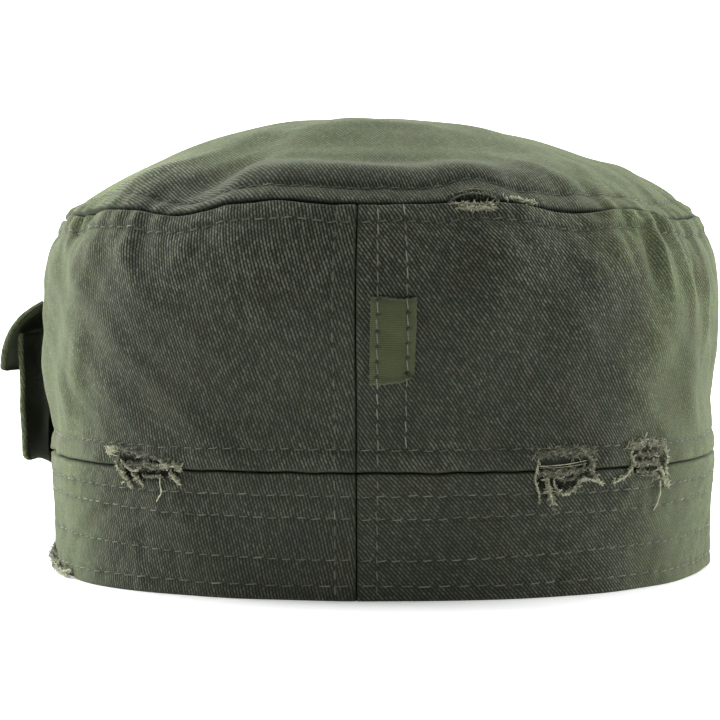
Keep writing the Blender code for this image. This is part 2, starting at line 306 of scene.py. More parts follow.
class Shade:
    """One socket of a material, so that its maths can be written as plain expressions."""

    def __init__(self, tree, socket):
        self.tree, self.socket = tree, socket

    def node(self, kind, sockets=(), output=0, **settings):
        made = self.tree.nodes.new(kind)
        for key, value in settings.items():
            setattr(made, key, value)
        for key, value in dict(sockets).items():
            if isinstance(value, Shade):
                self.tree.links.new(value.socket, made.inputs[key])
            else:
                made.inputs[key].default_value = value
        return Shade(self.tree, made.outputs[output])

    def maths(self, operation, *values):
        return self.node("ShaderNodeMath", enumerate(values), operation=operation)

    def __add__(self, other):
        return self.maths("ADD", self, other)

    def __sub__(self, other):
        return self.maths("SUBTRACT", self, other)

    def __rsub__(self, other):
        return self.maths("SUBTRACT", other, self)

    def __mul__(self, other):
        return self.maths("MULTIPLY", self, other)

    def __truediv__(self, other):
        return self.maths("DIVIDE", self, other)

    __radd__ = __add__
    __rmul__ = __mul__

    def mask(self, name):
        return self.node("ShaderNodeAttribute", output=2, attribute_name=name)

    def place(self):
        return self.node("ShaderNodeTexCoord", output=3)

    def flat_pattern(self):
        """Right and up on the piece's flat pattern, in mm."""
        flat = self.node("ShaderNodeUVMap", uv_map="pattern")
        flat = flat.node("ShaderNodeVectorMath", {0: flat, 3: 1000.0}, operation="SCALE")
        return [flat.node("ShaderNodeSeparateXYZ", {0: flat}, output) for output in (0, 1)]

    def feed(self, surface, socket):
        self.tree.links.new(self.socket, surface.inputs[socket])

    def raise_surface(self, surface, strength, distance):
        """Lets this value stand for the height of the surface, so much of it in metres."""
        sockets = {"Strength": strength, "Distance": distance, "Height": self}
        self.node("ShaderNodeBump", sockets).feed(surface, "Normal")

    def wave(self):
        """A smooth wave between 0 and 1, once for each whole number."""
        return self.maths("SINE", self * (2 * pi)) * 0.5 + 0.5

    def clear(self, low, high):
        """0 below low, 1 above high, smooth between."""
        return self.node("ShaderNodeMapRange", {0: self, 1: low, 2: high}, interpolation_type="SMOOTHSTEP")

    def noise(self, scale, detail=2.0, roughness=0.5, output=0):
        sockets = {"Vector": self, "Scale": scale, "Detail": detail, "Roughness": roughness}
        return self.node("ShaderNodeTexNoise", sockets, output)

    def blend(self, first, second):
        """Mixes two colours, with this value as the second one's share."""
        colours = {6: first if isinstance(first, Shade) else (*first, 1)}
        colours[7] = second if isinstance(second, Shade) else (*second, 1)
        return self.node("ShaderNodeMix", {0: self, **colours}, 2, data_type="RGBA")


def new_material(name, constants):
    """A material with its Principled shader, and a socket to build its maths from."""
    material = bpy.data.materials.new(name)
    material.use_nodes = True
    tree = material.node_tree
    surface = tree.nodes["Principled BSDF"]
    for socket, value in constants.items():
        surface.inputs[socket].default_value = value
    return material, surface, Shade(tree, None)


TWILL_PITCH = 0.772  # mm from one diagonal rib to the next
FLOAT_LENGTH = 1.15  # mm that a yarn runs before it dives
DEEP_OLIVE = (0.053, 0.058, 0.043)
OLIVE = (0.095, 0.102, 0.078)
# Paler, greener copies of the plain and the worn olive, painted as side light where the cloth is smooth.
SIDELIT_OLIVE = (0.108, 0.131, 0.064)
WORN_SIDELIT_OLIVE = (0.226, 0.278, 0.136)
WORN_RIB = (0.222, 0.236, 0.178)
UMBER = (0.128, 0.108, 0.074)
MOSS = (0.066, 0.118, 0.058)
SLATE = (0.078, 0.092, 0.090)
# Near-black painted shade, between the ribs, in creases and holes and in pockets.
DEEP_SHADE = (0.012, 0.014, 0.011)
SHEEN_TINT = (0.70, 0.90, 0.44, 1)


def twill(name, slant):
    """Washed cotton twill: ribs of short lit floats with shade painted between them, faded in clouds, worn
    pale at edges.
    """
    sheen = {"Sheen Weight": 0.12, "Sheen Roughness": 0.45, "Sheen Tint": SHEEN_TINT}
    material, surface, start = new_material(name, {**sheen, "Specular IOR Level": 0.18})
    place = start.place()
    right, up = start.flat_pattern()
    tilt = radians(slant)
    clouds = place.noise(34, 3.0, 0.55)
    blotches = place.noise(150, 3.0, 0.6)
    mottle = place.noise(520, 3.0, 0.6)
    flecks = place.noise(2400, 3.0, 0.75)
    wander = place.noise(210, 2.0) - 0.5
    tremble = place.noise(1300, 1.0) - 0.5
    across = (right * sin(tilt) + up * cos(tilt)) / TWILL_PITCH + wander * 0.7 + tremble * 0.35
    row = across.maths("FLOOR", across + 0.25)
    along = (right * cos(tilt) - up * sin(tilt)) / FLOAT_LENGTH + row * 0.37 + wander
    step = along.maths("FLOOR", along + 0.25)
    cell = start.node("ShaderNodeCombineXYZ", {0: row, 1: step})
    lit = start.node("ShaderNodeTexWhiteNoise", {"Vector": cell}, noise_dimensions="2D")
    weave = across.wave() * (0.52 + 0.48 * along.wave()) * (0.62 + 0.38 * lit)
    rubbed_and_painted_light, shaded, smooth = (start.mask(key) for key in ("wear_and_painted_light", "shade", "smooth"))
    grain = (flecks - 0.5) * (2.2 + 3.2 * smooth) + (lit - 0.5) * (0.80 - 0.50 * smooth)
    fade = 0.46 + (clouds - 0.5) * 0.9 + (blotches - 0.5) * 0.5 + grain
    fade = fade + rubbed_and_painted_light * (0.35 + blotches * 0.7)
    # Painted side light: where the smooth mask is high the olive takes its paler, greener lit copies.
    worn = smooth.blend(WORN_RIB, WORN_SIDELIT_OLIVE)
    plain = smooth.blend(OLIVE, SIDELIT_OLIVE)
    faded = fade.clear(0.35, 1.7).blend(fade.clear(-0.5, 0.5).blend(DEEP_OLIVE, plain), worn)
    brown = place.noise(90, 2.0).clear(0.48, 0.8) * 0.45 + mottle.clear(0.5, 0.72) * 0.42
    colour = brown.blend(faded, UMBER)
    colour = (mottle.clear(0.5, 0.28) * 0.50).blend(colour, MOSS)
    colour = (place.noise(300, 2.0).clear(0.52, 0.75) * 0.45).blend(colour, SLATE)
    # Painted shade between the ribs, fainter where the ribs are smooth.
    groove_shade = weave.clear(0.74, -0.04) * (0.98 - 0.52 * smooth)
    colour = groove_shade.blend(colour, DEEP_SHADE)
    # Painted shade where the shade mask says, near-black at its deepest.
    colour = (shaded * 0.75).blend(colour, DEEP_OLIVE)
    colour = (shaded.clear(0.55, 1.0) * 0.85).blend(colour, DEEP_SHADE)
    colour.feed(surface, "Base Color")
    (0.86 + flecks * 0.12).feed(surface, "Roughness")
    relief = weave * (0.9 - 0.55 * smooth) + flecks * (0.35 + 0.25 * smooth) + blotches * 0.25
    relief.raise_surface(surface, 1.0, 0.00022)
    return material


BAND_LEFT_SLANT = 76.0
BAND_RIGHT_SLANT = 46.0
WALL_LEFT_SLANT = 71.5
WALL_RIGHT_SLANT = 54.5
TOP_SLANT = 60.0
band_twill_left = twill("band_twill_left", BAND_LEFT_SLANT)
band_twill_right = twill("band_twill_right", BAND_RIGHT_SLANT)
twill_left = twill("wall_twill_left", WALL_LEFT_SLANT)
twill_right = twill("wall_twill_right", WALL_RIGHT_SLANT)
twill_top = twill("top_twill", TOP_SLANT)

COLUMN = 0.74  # degrees between columns of the cloth
TEAR_COLUMN, TEAR_REACH = 0.33, 6.5  # the same at a hole, and how far each side of it
SEAM_COLUMN, SEAM_REACH = 0.2, 1.2  # and at the back seam and the rows beside it
BACK_STITCH_LEFT = 0.0048  # rows of stitches beside the back seam, from the seam
BACK_STITCH_RIGHT = 0.0050
BACK_STITCH_FAR_RIGHT = 0.0115
# The same rows by their distance round the rim, towards the wearer's left.
BACK_ROWS = (BACK_STITCH_LEFT, -BACK_STITCH_RIGHT, -BACK_STITCH_FAR_RIGHT)
HEM_STITCH = 0.0034
BAND_STITCHES = (HEM_STITCH, 0.0093, 0.0191, 0.0244)
SEAM_ROLL = 0.0006  # radius of an edge turned in at a seam

# Holes worn through the cloth, outlined by (angle, height in mm).
TEARS = (
    ((38.2, 32.8), (33.0, 32.3), (28.0, 31.0), (27.4, 28.8), (30.0, 27.7), (34.0, 27.0), (38.0, 28.6)),
    ((-26.8, 33.0), (-35.3, 33.0), (-36.0, 30.0), (-34.0, 27.8), (-30.5, 25.6), (-27.2, 26.0), (-26.6, 30.0)),
    ((-43.2, 33.4), (-50.2, 33.4), (-50.7, 28.4), (-47.5, 28.6), (-44.0, 28.6), (-42.9, 30.8)),
    ((-14.8, 92.4), (-17.0, 91.9), (-20.0, 91.9), (-21.6, 92.4), (-21.8, 93.2), (-19.5, 93.6), (-16.8, 93.6),
     (-14.8, 93.3)),
    ((74.0, 0.0), (70.0, 1.8), (66.0, 2.6), (62.0, 1.6), (58.0, 2.3), (54.0, 0.6), (53.0, -1.0),
     (74.0, -1.0)),
)
# The middle of each hole, by angle.
TEAR_PLACES = (32.5, -31.0, -46.5, -18.5, 63.5)
TEAR_FRINGE = 0.0006  # the cloth thins out over this much at a hole's edge


def from_outline(outline, right, up):
    """Distance in mm to a closed outline of (right, up), negative inside it."""
    nearest = np.full(np.shape(right), 1e6)
    within = np.zeros(np.shape(right), bool)
    for (x, y), (next_x, next_y) in zip(outline, np.roll(outline, -1, axis=0)):
        edge_x, edge_y = next_x - x, next_y - y
        share = np.clip(((right - x) * edge_x + (up - y) * edge_y) / (edge_x**2 + edge_y**2), 0, 1)
        nearest = np.minimum(nearest, np.hypot(right - x - share * edge_x, up - y - share * edge_y))
        crossing = (y > up) != (next_y > up)
        within ^= crossing & (right < x + edge_x * (up - y) / np.where(edge_y == 0, 1e-9, edge_y))
    return np.where(within, -nearest, nearest)


def off_tear(angle, height):
    """Distance in metres to the nearest hole's edge, negative inside a hole."""
    ragged = 0.30 * ripple(angle, 120, 300, 5) + 0.2 * np.sin(height * 4200 + angle * 2.3)
    right, up = -round_rim(turn(angle)) * 1000, height * 1000
    corners = [np.array([(-round_rim(at) * 1000, high) for at, high in outline]) for outline in TEARS]
    return np.min([from_outline(outline, right, up) + ragged for outline in corners], axis=0) / 1000


def torn(angle, height):
    """1 inside the holes, 0 outside them."""
    return ease(0.5 - off_tear(angle, height) / TEAR_FRINGE)


def seam_relief(angle):
    """Cloth beside the back seam: turned in at the seam, raised over its allowance, pulled in by stitches."""
    along = round_rim(turn(angle))
    relief = -rolled(np.abs(along) - SEAM_GAP / 2, SEAM_ROLL)
    relief += 0.00022 * fades(np.abs(along), 0.0045, 0.0015)
    for row in BACK_ROWS:
        relief -= 0.00013 * furrow(along - row, 0.0006)
    return relief


def seam_line(distance, angle=0.0):
    """Shade in the crease of a seam, this far from its edge; the crease opens out at the sides."""
    return (0.95 - 0.45 * ease((np.abs(turn(angle)) - 46) / 24)) * furrow(distance, 0.00055)


def beside_seam(angle):
    """Shade in the back seam and along the rows of stitches beside it."""
    along = round_rim(turn(angle))
    rows = 0.25 * sum(furrow(along - row, 0.0006) for row in BACK_ROWS)
    return np.maximum(seam_line(np.abs(along)), rows)


def masks_of(angle, wear_and_painted_light, shade, tear, smooth=0.0):
    """Where the cloth is worn pale and where light is painted on it, where shade is painted, and where its
    ribs are smoothed in the paler painted tone of lit cloth.
    """
    # Painted side light: the sides of the head take the smooth, paler tone of lit cloth.
    painted_side_light = ease((np.abs(turn(angle)) - 37) / 17) + 0 * wear_and_painted_light
    return {
        "wear_and_painted_light": np.clip(wear_and_painted_light, 0, 2) + 4 * tear * (1 - tear),
        "shade": np.maximum(np.clip(shade, 0, 1), tear * 0.9) + 0 * wear_and_painted_light,
        "smooth": np.maximum(painted_side_light, smooth) * (1 - tear),
    }


def trim(angle, height):
    """The cloth lies a little closer at the wearer's left, more so by the band seam."""
    closer = 0.0012 * around(angle, 75, 40) * ease((height - 0.050) / 0.014)
    closer += 0.0022 * around(angle, 72, 36) * bump((height - 0.033) / 0.022)
    return -closer - 0.0006 * around(angle, -75, 34) * ease((height - 0.070) / 0.010)


def row_drift(angle, row):
    """How far the rows of stitches climb towards the sides of the head, the lower ones most."""
    side = np.abs(turn(angle))
    climb = ease(side / 72) * fades(side, 95, 50) * np.where(turn(angle) > 0, 0.0028, 0.0019)
    return climb * ease((row - 0.0030) / 0.0060) * fades(row, 0.012, 0.0178)


def band_form(angle, row):
    """Height, outward relief and masks of the band, `row` above the rim on its flat strip."""
    low, high = rim_height(angle), band_seam_height(angle) - SEAM_GAP / 2
    height = spread_rows(low, high, BAND_HEIGHT, row) + row_drift(angle, row)
    down = BAND_HEIGHT - row
    relief = seam_relief(angle) - rolled(down, SEAM_ROLL) - rolled(row, SEAM_ROLL)
    for stitch in BAND_STITCHES:
        relief -= 0.00026 * furrow(row - stitch, 0.0007)
        relief += 0.00012 * ripple(angle, 55, 120, int(stitch * 1e5)) * furrow(row - stitch, 0.0021)
    relief += 0.00010 * ripple(angle + row * 900, 24, 70, 11) * ease(row / 0.006)
    relief += 0.00026 * ripple(angle - row * 500, 9, 26, 12)
    relief += trim(angle, height)
    tear = torn(angle, height)
    relief -= 0.0011 * tear
    wear_and_painted_light = 0.25 * furrow(down - 0.0012, 0.0011) + 0.20 * furrow(row - 0.0008, 0.0010)
    wear_and_painted_light += 0.15 * sum(furrow(row - stitch - 0.0011, 0.0007) for stitch in BAND_STITCHES)
    shade = np.maximum(seam_line(down, angle), beside_seam(angle))
    shade = np.maximum(shade, 0.35 * sum(furrow(row - stitch + 0.0004, 0.0005) for stitch in BAND_STITCHES))
    shade = np.maximum(shade, np.maximum(0.52 * around(angle, -54, 13), 0.32 * around(angle, 0, 60)))
    return height, relief, masks_of(angle, wear_and_painted_light, shade, tear)


def fine_columns(start, end):
    """Angles of the cloth's columns, close together at the back seam's rows and at the holes."""
    seam_lines = [at + whole for at in (0.0, *angle_at(np.array(BACK_ROWS))) for whole in (-360, 0, 360)]
    tear_lines = [at + whole for at in TEAR_PLACES for whole in (-360, 0, 360)]

    def stride(place):
        if by_lines(place, seam_lines, SEAM_REACH):
            return SEAM_COLUMN
        return TEAR_COLUMN if by_lines(place, tear_lines, TEAR_REACH) else COLUMN

    return walk_along(start, end, stride)


SHUT_GAP = SEAM_GAP * 0.55  # moves a lining's edge behind its seam, so that no light comes through
seam_half = float(angle_at(SEAM_GAP / 2))
shut_turn = seam_half * 1.1
band_columns = fine_columns(seam_half, 360 - seam_half)[::-1]
band_rows = steps(0.0, BAND_HEIGHT, 0.00085, 0.00040, (0, *BAND_STITCHES, BAND_HEIGHT), 0.0016)
band_angle, band_row = np.meshgrid(band_columns, band_rows)
band_height, band_relief, band_masks = band_form(band_angle, band_row)
band_flat = np.stack((-round_rim(turn(band_angle)), band_height), -1)
outside = wall_point(band_angle, band_height, band_relief)
behind = shut(band_angle.T, 1, -1, shut_turn).T
under = -BAND_CLOTH + 0.4 * np.minimum(band_relief, 0)
inside = wall_point(behind, shut(band_height, 0, 1, SHUT_GAP), under)
inside[0] = wall_point(behind[0], band_height[0], np.full(band_angle[0].shape, -BAND_CLOTH + 0.0006))
band_twills = (band_twill_left, band_twill_right)
band = cloth("lower_band", outside, inside, band_flat, band_masks, band_twills, "band_twill", "band")
sides = [0 if face.center.x > CROWN_CENTRE.x else 1 for face in band.data.polygons]
band.data.polygons.foreach_set("material_index", sides)

# Side wall
# Three shaped panels of single twill, sewn to each other down the centre back and at the sides
# of the head. Each is turned over at its seams and topstitched through its seam allowance.
SIDE_SEAM = 125.0
WALL_LOW_STITCH = 0.0050  # above the band seam
WALL_TOP_STITCH = 0.0042  # below the top seam
SIDE_STITCH = 0.0050  # each side of the side seams
# Soft creases of the wall: angle, height, lean from upright, half length, half width, height of ridge.
WALL_CREASES = (
    (69.0, 0.074, 4, 0.022, 0.0050, 0.0009), (49.0, 0.055, 18, 0.014, 0.0058, 0.0010),
    (55.0, 0.044, -24, 0.013, 0.0050, 0.0007), (43.0, 0.078, 24, 0.017, 0.0060, -0.0006),
    (50.0, 0.082, 10, 0.012, 0.0036, 0.0005), (34.0, 0.083, -8, 0.011, 0.0040, -0.0005),
    (27.0, 0.080, 16, 0.012, 0.0042, 0.0006), (-44.5, 0.083, -16, 0.013, 0.0026, 0.0008),
    (-47.5, 0.082, -12, 0.014, 0.0022, -0.0008), (-50.5, 0.081, -14, 0.016, 0.0024, 0.0010),
    (-54.0, 0.081, -10, 0.015, 0.0024, -0.0009), (-57.5, 0.078, -8, 0.020, 0.0028, 0.0012),
    (-61.5, 0.078, -3, 0.018, 0.0026, -0.0010), (-65.5, 0.073, 2, 0.024, 0.0032, 0.0012),
    (-50.0, 0.060, 26, 0.024, 0.0090, 0.0011), (-40.0, 0.066, 32, 0.024, 0.0080, -0.0007),
    (-60.0, 0.047, -14, 0.016, 0.0060, 0.0007), (-78.0, 0.062, 10, 0.022, 0.0060, -0.0008),
    (95.0, 0.080, -12, 0.014, 0.0040, 0.0007), (112.0, 0.082, 8, 0.016, 0.0050, 0.0008),
    (140.0, 0.088, -10, 0.020, 0.0060, 0.0008), (160.0, 0.085, 14, 0.022, 0.0070, -0.0008),
    (178.0, 0.080, 4, 0.024, 0.0080, 0.0009), (-160.0, 0.086, -12, 0.022, 0.0070, -0.0007),
    (-140.0, 0.084, 10, 0.020, 0.0060, 0.0009), (-118.0, 0.078, -14, 0.018, 0.0050, 0.0008),
    (-98.0, 0.074, 12, 0.020, 0.0050, 0.0007), (150.0, 0.050, 30, 0.022, 0.0080, 0.0008),
    (-150.0, 0.050, -34, 0.022, 0.0080, 0.0008),
)


def crease(right, above, lean, half_length, half_width):
    """1 along the middle of a crease, falling to 0 at its sides and ends."""
    along = above * cos(radians(lean)) + right * sin(radians(lean))
    across = right * cos(radians(lean)) - above * sin(radians(lean))
    return bump(along / half_length) * bump(across / half_width)


def gathers(angle):
    """The top seam is puckered most at the sides of the head."""
    return 0.35 + 0.65 * ease((np.abs(turn(angle)) - 22) / 30)


def puckers(angle, off, waves, seed, start, reach):
    """Puckers that rise a little way off a seam and die out further from it."""
    return ripple(angle, *waves, seed) * ease(off / start) * np.exp(-off / reach)


def wall_form(angle, row):
    """Height, outward relief and masks of the wall, `row` above the band seam on its flat panels."""
    low, high = band_seam_height(angle) + SEAM_GAP / 2, top_seam_height(angle) - SEAM_GAP / 2
    height = spread_rows(low, high, SIDE_HEIGHT, row)
    down = SIDE_HEIGHT - row
    from_low, from_top = row - WALL_LOW_STITCH, down - WALL_TOP_STITCH
    relief = seam_relief(angle) - rolled(row, SEAM_ROLL) - rolled(down, SEAM_ROLL)
    for side in (SIDE_SEAM, -SIDE_SEAM):
        off = np.abs(round_rim(turn(angle - side)))
        relief -= rolled(off - SEAM_GAP / 2, 0.0009) + 0.00020 * furrow(off - SIDE_STITCH, 0.0007)
    relief += 0.00040 * fades(row, 0.0040, 0.0016) + 0.00045 * fades(down, 0.0030, 0.0018)
    relief -= 0.00030 * furrow(from_low, 0.0007) + 0.00036 * furrow(from_top, 0.0008)
    gathered = gathers(angle) * (1 + 0.5 * around(angle, -50, 24))
    relief += 0.00052 * gathered * puckers(angle, down, (52, 115), 21, 0.0012, 0.0050)
    relief += 0.00045 * gathered * puckers(angle + down * 300, down, (30, 62), 22, 0.004, 0.013)
    relief += 0.00022 * puckers(angle, row, (50, 110), 23, 0.0012, 0.0050)
    relief += 0.00035 * ripple(angle + row * 250, 10, 30, 24)
    relief += 0.00020 * ripple(angle - row * 700, 24, 60, 25)
    for at, up, lean, half_length, half_width, ridge in WALL_CREASES:
        right = -round_rim(turn(angle - at))
        relief += ridge * crease(right, height - up, lean, half_length, half_width)
    relief += trim(angle, height)
    tear = torn(angle, height)
    relief -= 0.0010 * tear
    wear_and_painted_light = 0.25 * furrow(row - 0.0012, 0.0011) + 0.25 * furrow(down - 0.0012, 0.0012)
    # Painted light: paler at the sides of the head and over the upper middle of the wall, where light falls.
    wear_and_painted_light += (0.30 * around(angle, -45, 9) + 0.10 * around(angle, 40, 9)) * ease(row / 0.012)
    wear_and_painted_light += 0.5 * ease((row - 0.038) / 0.018) * fades(np.abs(turn(angle)), 34, 20)
    wear_and_painted_light += 0.15 * furrow(from_top - 0.0012, 0.0008) + 0.15 * furrow(from_low - 0.0012, 0.0008)
    wear_and_painted_light += np.clip(relief / 0.0012, 0, 1) * 0.35
    relief -= 0.0009 * around(angle, 76, 28) * fades(row, 0.004, 0.012)
    relief += 0.0014 * bump((row - 0.037) / 0.025) * around(angle, 0, 60)
    shade = np.maximum(np.maximum(seam_line(row, angle), seam_line(down, angle)), beside_seam(angle))
    stitched = furrow(from_low + 0.0003, 0.0005) + furrow(from_top + 0.0003, 0.0006)
    shade = np.maximum(shade, 0.40 * stitched)
    shade = np.maximum(shade, 0.26 * around(angle, 0, 60) * fades(row, 0.026, 0.024))
    shade = np.maximum(shade, 0.45 * around(angle, -55, 12) * fades(row, 0.024, 0.024))
    # Painted side light over the upper wall at the right side of the head.
    smooth = around(angle, -48, 18) * ease((row - 0.040) / 0.016)
    return height, relief, masks_of(angle, wear_and_painted_light, shade, tear, smooth)


wall_lines = (0, WALL_LOW_STITCH, SIDE_HEIGHT - WALL_TOP_STITCH, SIDE_HEIGHT)
wall_rows = steps(0.0, SIDE_HEIGHT, 0.00105, 0.00042, wall_lines, 0.0017)


def wall_panel(name, start, end, material, node):
    """One panel of the wall, from one seam's angle to the next."""
    columns = fine_columns(start + seam_half, end - seam_half)[::-1]
    angle, row = np.meshgrid(columns, wall_rows)
    height, relief, masks = wall_form(angle, row)
    outside = wall_point(angle, height, relief)
    under = -SIDE_CLOTH + 0.75 * np.minimum(relief, 0) + 0.5 * np.maximum(relief, 0)
    behind = shut(angle.T, 1, -1, shut_turn).T
    inside = wall_point(behind, shut(height, -1, 1, SHUT_GAP), under)
    flat = np.stack((-round_rim(turn(angle)), height), -1)
    if start < 180 < end:
        flat[..., 0] = -round_rim(angle)
    cloth(name, outside, inside, flat, masks, (material,), "crown_twill", node)


wall_panel("wall_back_left", 0, SIDE_SEAM, twill_left, "back_panel_left")
wall_panel("wall_front", SIDE_SEAM, 360 - SIDE_SEAM, twill_right, "front_panel")
wall_panel("wall_back_right", -SIDE_SEAM, 0, twill_right, "back_panel_right")

# Crown top
# An oval of twill, puffed up and soft, turned under and topstitched all round its seam. It folds
# along a ridge above the back seam and is dented at the wearer's left.
DOME_HEIGHT = 0.0215
DOME_FULLNESS = 0.8
MID_RISE = 0.0065
TOP_STITCH = 0.0049  # in from the seam
TOP_ROWS_REACH = 0.0895  # from the seam to the middle, along its rows
TOP_ROWS_END = 0.08945  # the innermost row closes round the middle
TOP_CREASE_DEPTH = 1.3  # the lesser creases below are this much deeper than listed
TOP_SLIT = -18.5  # angle of the slit worn in the seam
# Angle, place, reach, width and depth of each fold, as the solids have them.
TOP_FOLDS = (
    (4.0, 0.66, 62.0, 0.16, 0.085), (0.0, 0.86, 66.0, 0.12, -0.080), (34.0, 0.88, 17.0, 0.13, 0.150),
    (82.0, 0.86, 34.0, 0.22, 0.075), (92.0, 0.40, 62.0, 0.34, -0.040), (-92.0, 0.42, 64.0, 0.36, 0.055),
    (-44.0, 0.62, 30.0, 0.20, 0.060), (-70.0, 0.82, 24.0, 0.16, -0.080), (178.0, 0.62, 50.0, 0.20, 0.070),
)
# Lesser creases: place on the panel, to the wearer's left and forward of its middle, direction, half
# length, half width, height of ridge.
TOP_CREASES = (
    (0.050, -0.062, 58, 0.020, 0.0050, 0.0007), (0.0380, -0.0740, 58, 0.024, 0.0070, -0.0015),
    (0.064, -0.048, 52, 0.022, 0.0055, -0.0003), (-0.045, -0.070, -60, 0.020, 0.0055, 0.0005),
    (-0.060, -0.050, -44, 0.020, 0.0060, -0.0004), (-0.070, -0.028, -24, 0.018, 0.0050, 0.0004),
    (0.0, -0.045, 88, 0.034, 0.0070, 0.0008), (0.02, -0.020, 80, 0.040, 0.0080, -0.0007),
    (-0.02, 0.015, 100, 0.040, 0.0090, 0.0008), (0.03, 0.045, 70, 0.030, 0.0080, 0.0008),
    (-0.04, 0.060, 120, 0.026, 0.0070, -0.0007), (0.072, 0.010, 8, 0.024, 0.0050, 0.0002),
    (-0.074, 0.012, -6, 0.024, 0.0050, 0.0008),
)


def top_edge(angle):
    """Points of the top seam, from the middle of the cap."""
    return wall_point(angle, top_seam_height(angle), np.zeros_like(angle)) - AXIS


def top_point(angle, share, out):
    """Points of the top: share from its middle to its seam, `out` off its plain form."""
    edge = top_edge(angle)
    inside = np.clip(1 - share * share, 0, None)
    middle = BAND_HEIGHT + SIDE_HEIGHT + MID_RISE
    folds = sum(
        depth * around(angle, at, reach) * bump((share - place) / width)
        for at, place, reach, width, depth in TOP_FOLDS
    )
    height = edge[..., 2] + (middle - edge[..., 2]) * inside + DOME_HEIGHT * (inside**DOME_FULLNESS - folds)
    upright = np.radians(90 + (SEAM_LEAN - 90) * ease((share - 0.7) / 0.3))
    point = np.stack((edge[..., 0] * share, edge[..., 1] * share, height), -1)
    point += outward(angle) * (np.cos(upright) * out)[..., None]
    point[..., 2] += np.sin(upright) * out
    return point + AXIS


def edge_reach(angle):
    """From the middle of the top to its seam, in metres."""
    edge = top_edge(angle)
    return np.hypot(edge[..., 0], edge[..., 1])


def top_stitch_at(angle):
    """The topstitching goes round the slit in the top seam."""
    return TOP_STITCH + 0.0017 * around(angle, TOP_SLIT, 7)


def top_form(angle, share):
    """Relief and masks of the top, and its flat pattern."""
    inward = (1 - share) * edge_reach(angle)
    from_stitch = inward - top_stitch_at(angle)
    relief = -rolled(inward - SEAM_GAP / 2, SEAM_ROLL)
    relief += 0.00030 * fades(inward, 0.0024, 0.0018) - 0.00036 * furrow(from_stitch, 0.0008)
    relief += 0.0007 * around(angle, TOP_SLIT, 6) * bump((inward - 0.0024) / 0.0030)
    relief += 0.00046 * gathers(angle) * puckers(angle, inward, (52, 112), 31, 0.0012, 0.0045)
    relief += 0.00050 * gathers(angle) * puckers(angle + inward * 260, inward, (28, 60), 32, 0.004, 0.014)
    flat_x = np.sin(np.radians(angle)) * share * CROWN_WIDTH / 2
    flat_y = np.cos(np.radians(angle)) * share * CROWN_LENGTH / 2
    for right, forward, direction, half_length, half_width, ridge in TOP_CREASES:
        folded = crease(flat_x - right, flat_y + forward, direction, half_length, half_width)
        relief += TOP_CREASE_DEPTH * ridge * folded
    relief += 0.00024 * np.sin(flat_x * 190 + 1.3 + 2 * np.sin(flat_y * 70)) * np.sin(flat_y * 160 + 0.4)
    relief += 0.0022 * around(angle, 38, 20) * bump((share - 0.88) / 0.13)
    relief -= 0.0013 * around(angle, 27, 8) * bump((share - 0.90) / 0.09)
    relief -= 0.0004 * around(angle, -82, 32) * bump((inward - 0.002) / 0.007)
    behind = around(angle, 0, 55)
    relief += behind * (0.0008 * bump((share - 0.905) / 0.055) - 0.0016 * bump((share - 0.79) / 0.10))
    tear = torn(angle, top_seam_height(angle) + inward * 0.8)
    relief -= 0.0010 * tear
    relief -= 0.0010 * bump((flat_x + 0.068) / 0.026) + 0.0006 * bump((flat_x + 0.012) / 0.035)
    wear_and_painted_light = 0.30 * furrow(inward - 0.0012, 0.0012) + 0.20 * furrow(from_stitch - 0.0012, 0.0009)
    wear_and_painted_light += 2.4 * around(angle, -26.2, 3.2) * bump((inward - 0.0011) / 0.0014)
    # Paler where the relief stands out, and painted light near the seam at the wearer's left, where light
    # falls.
    wear_and_painted_light += np.clip(relief / 0.0012, 0, 1) * 0.30 + 1.5 * around(angle, 66, 46) * bump((share - 0.82) / 0.20)
    shade = np.maximum(seam_line(inward - SEAM_GAP / 2), 0.45 * furrow(from_stitch + 0.0003, 0.0006))
    # The top away from its seam and the right side of the head are smooth and take the paler painted tone of
    # lit cloth.
    smooth = np.maximum(0.8 * ease((inward - 0.010) / 0.020), around(angle, -48, 20))
    masks = masks_of(angle, wear_and_painted_light, shade, tear, smooth)
    return relief, masks, np.stack((-flat_x, -flat_y), -1)


top_columns = fine_columns(-180, 180)[:-1][::-1]
from_edge = steps(0.0, TOP_ROWS_END, 0.0020, 0.00048, (0, TOP_STITCH), 0.0017)
top_shares = 1 - from_edge / TOP_ROWS_REACH
top_shares[0] = 1 - SEAM_GAP / CROWN_WIDTH
top_angle, top_share = np.meshgrid(top_columns, top_shares)
top_relief, top_masks, top_flat = top_form(top_angle, top_share)
outside = top_point(top_angle, top_share, top_relief)
inside = top_point(top_angle, shut(top_share, 1, 0, SEAM_GAP / CROWN_WIDTH), -SIDE_CLOTH + 0.6 * top_relief)
cloth(
    "crown_top_panel", outside, inside, top_flat, top_masks, (twill_top,), "crown_twill", "crown_top",
    closed=True,
)

# Stitching
# Pale grey-green cotton thread in lockstitches of 3 to 4 mm. Each stitch dives into the cloth at
# both ends, where shade is painted on the thread over the needle hole.
STITCH_RADIUS = 0.00015
STITCH_SHARE = 0.76  # of the pitch that shows as thread
PITCH = 0.0035
HEM_PITCH = 0.0044
STITCH_SLANT = 0.00025  # a stitch climbs this much along its row
OFF_TABLE = 0.0004
ROW_END = 0.0006  # from the back seam to the ends of a row that runs round the cap
YARN_SHADE = (0.012, 0.014, 0.010)


def over_band(along, row, out):
    """Points over the band: `along` its length to the right as seen from outside, `row` above the rim."""
    angle = angle_at(-along)
    height, relief, _ = band_form(angle, row)
    return wall_point(angle, height, relief + out)


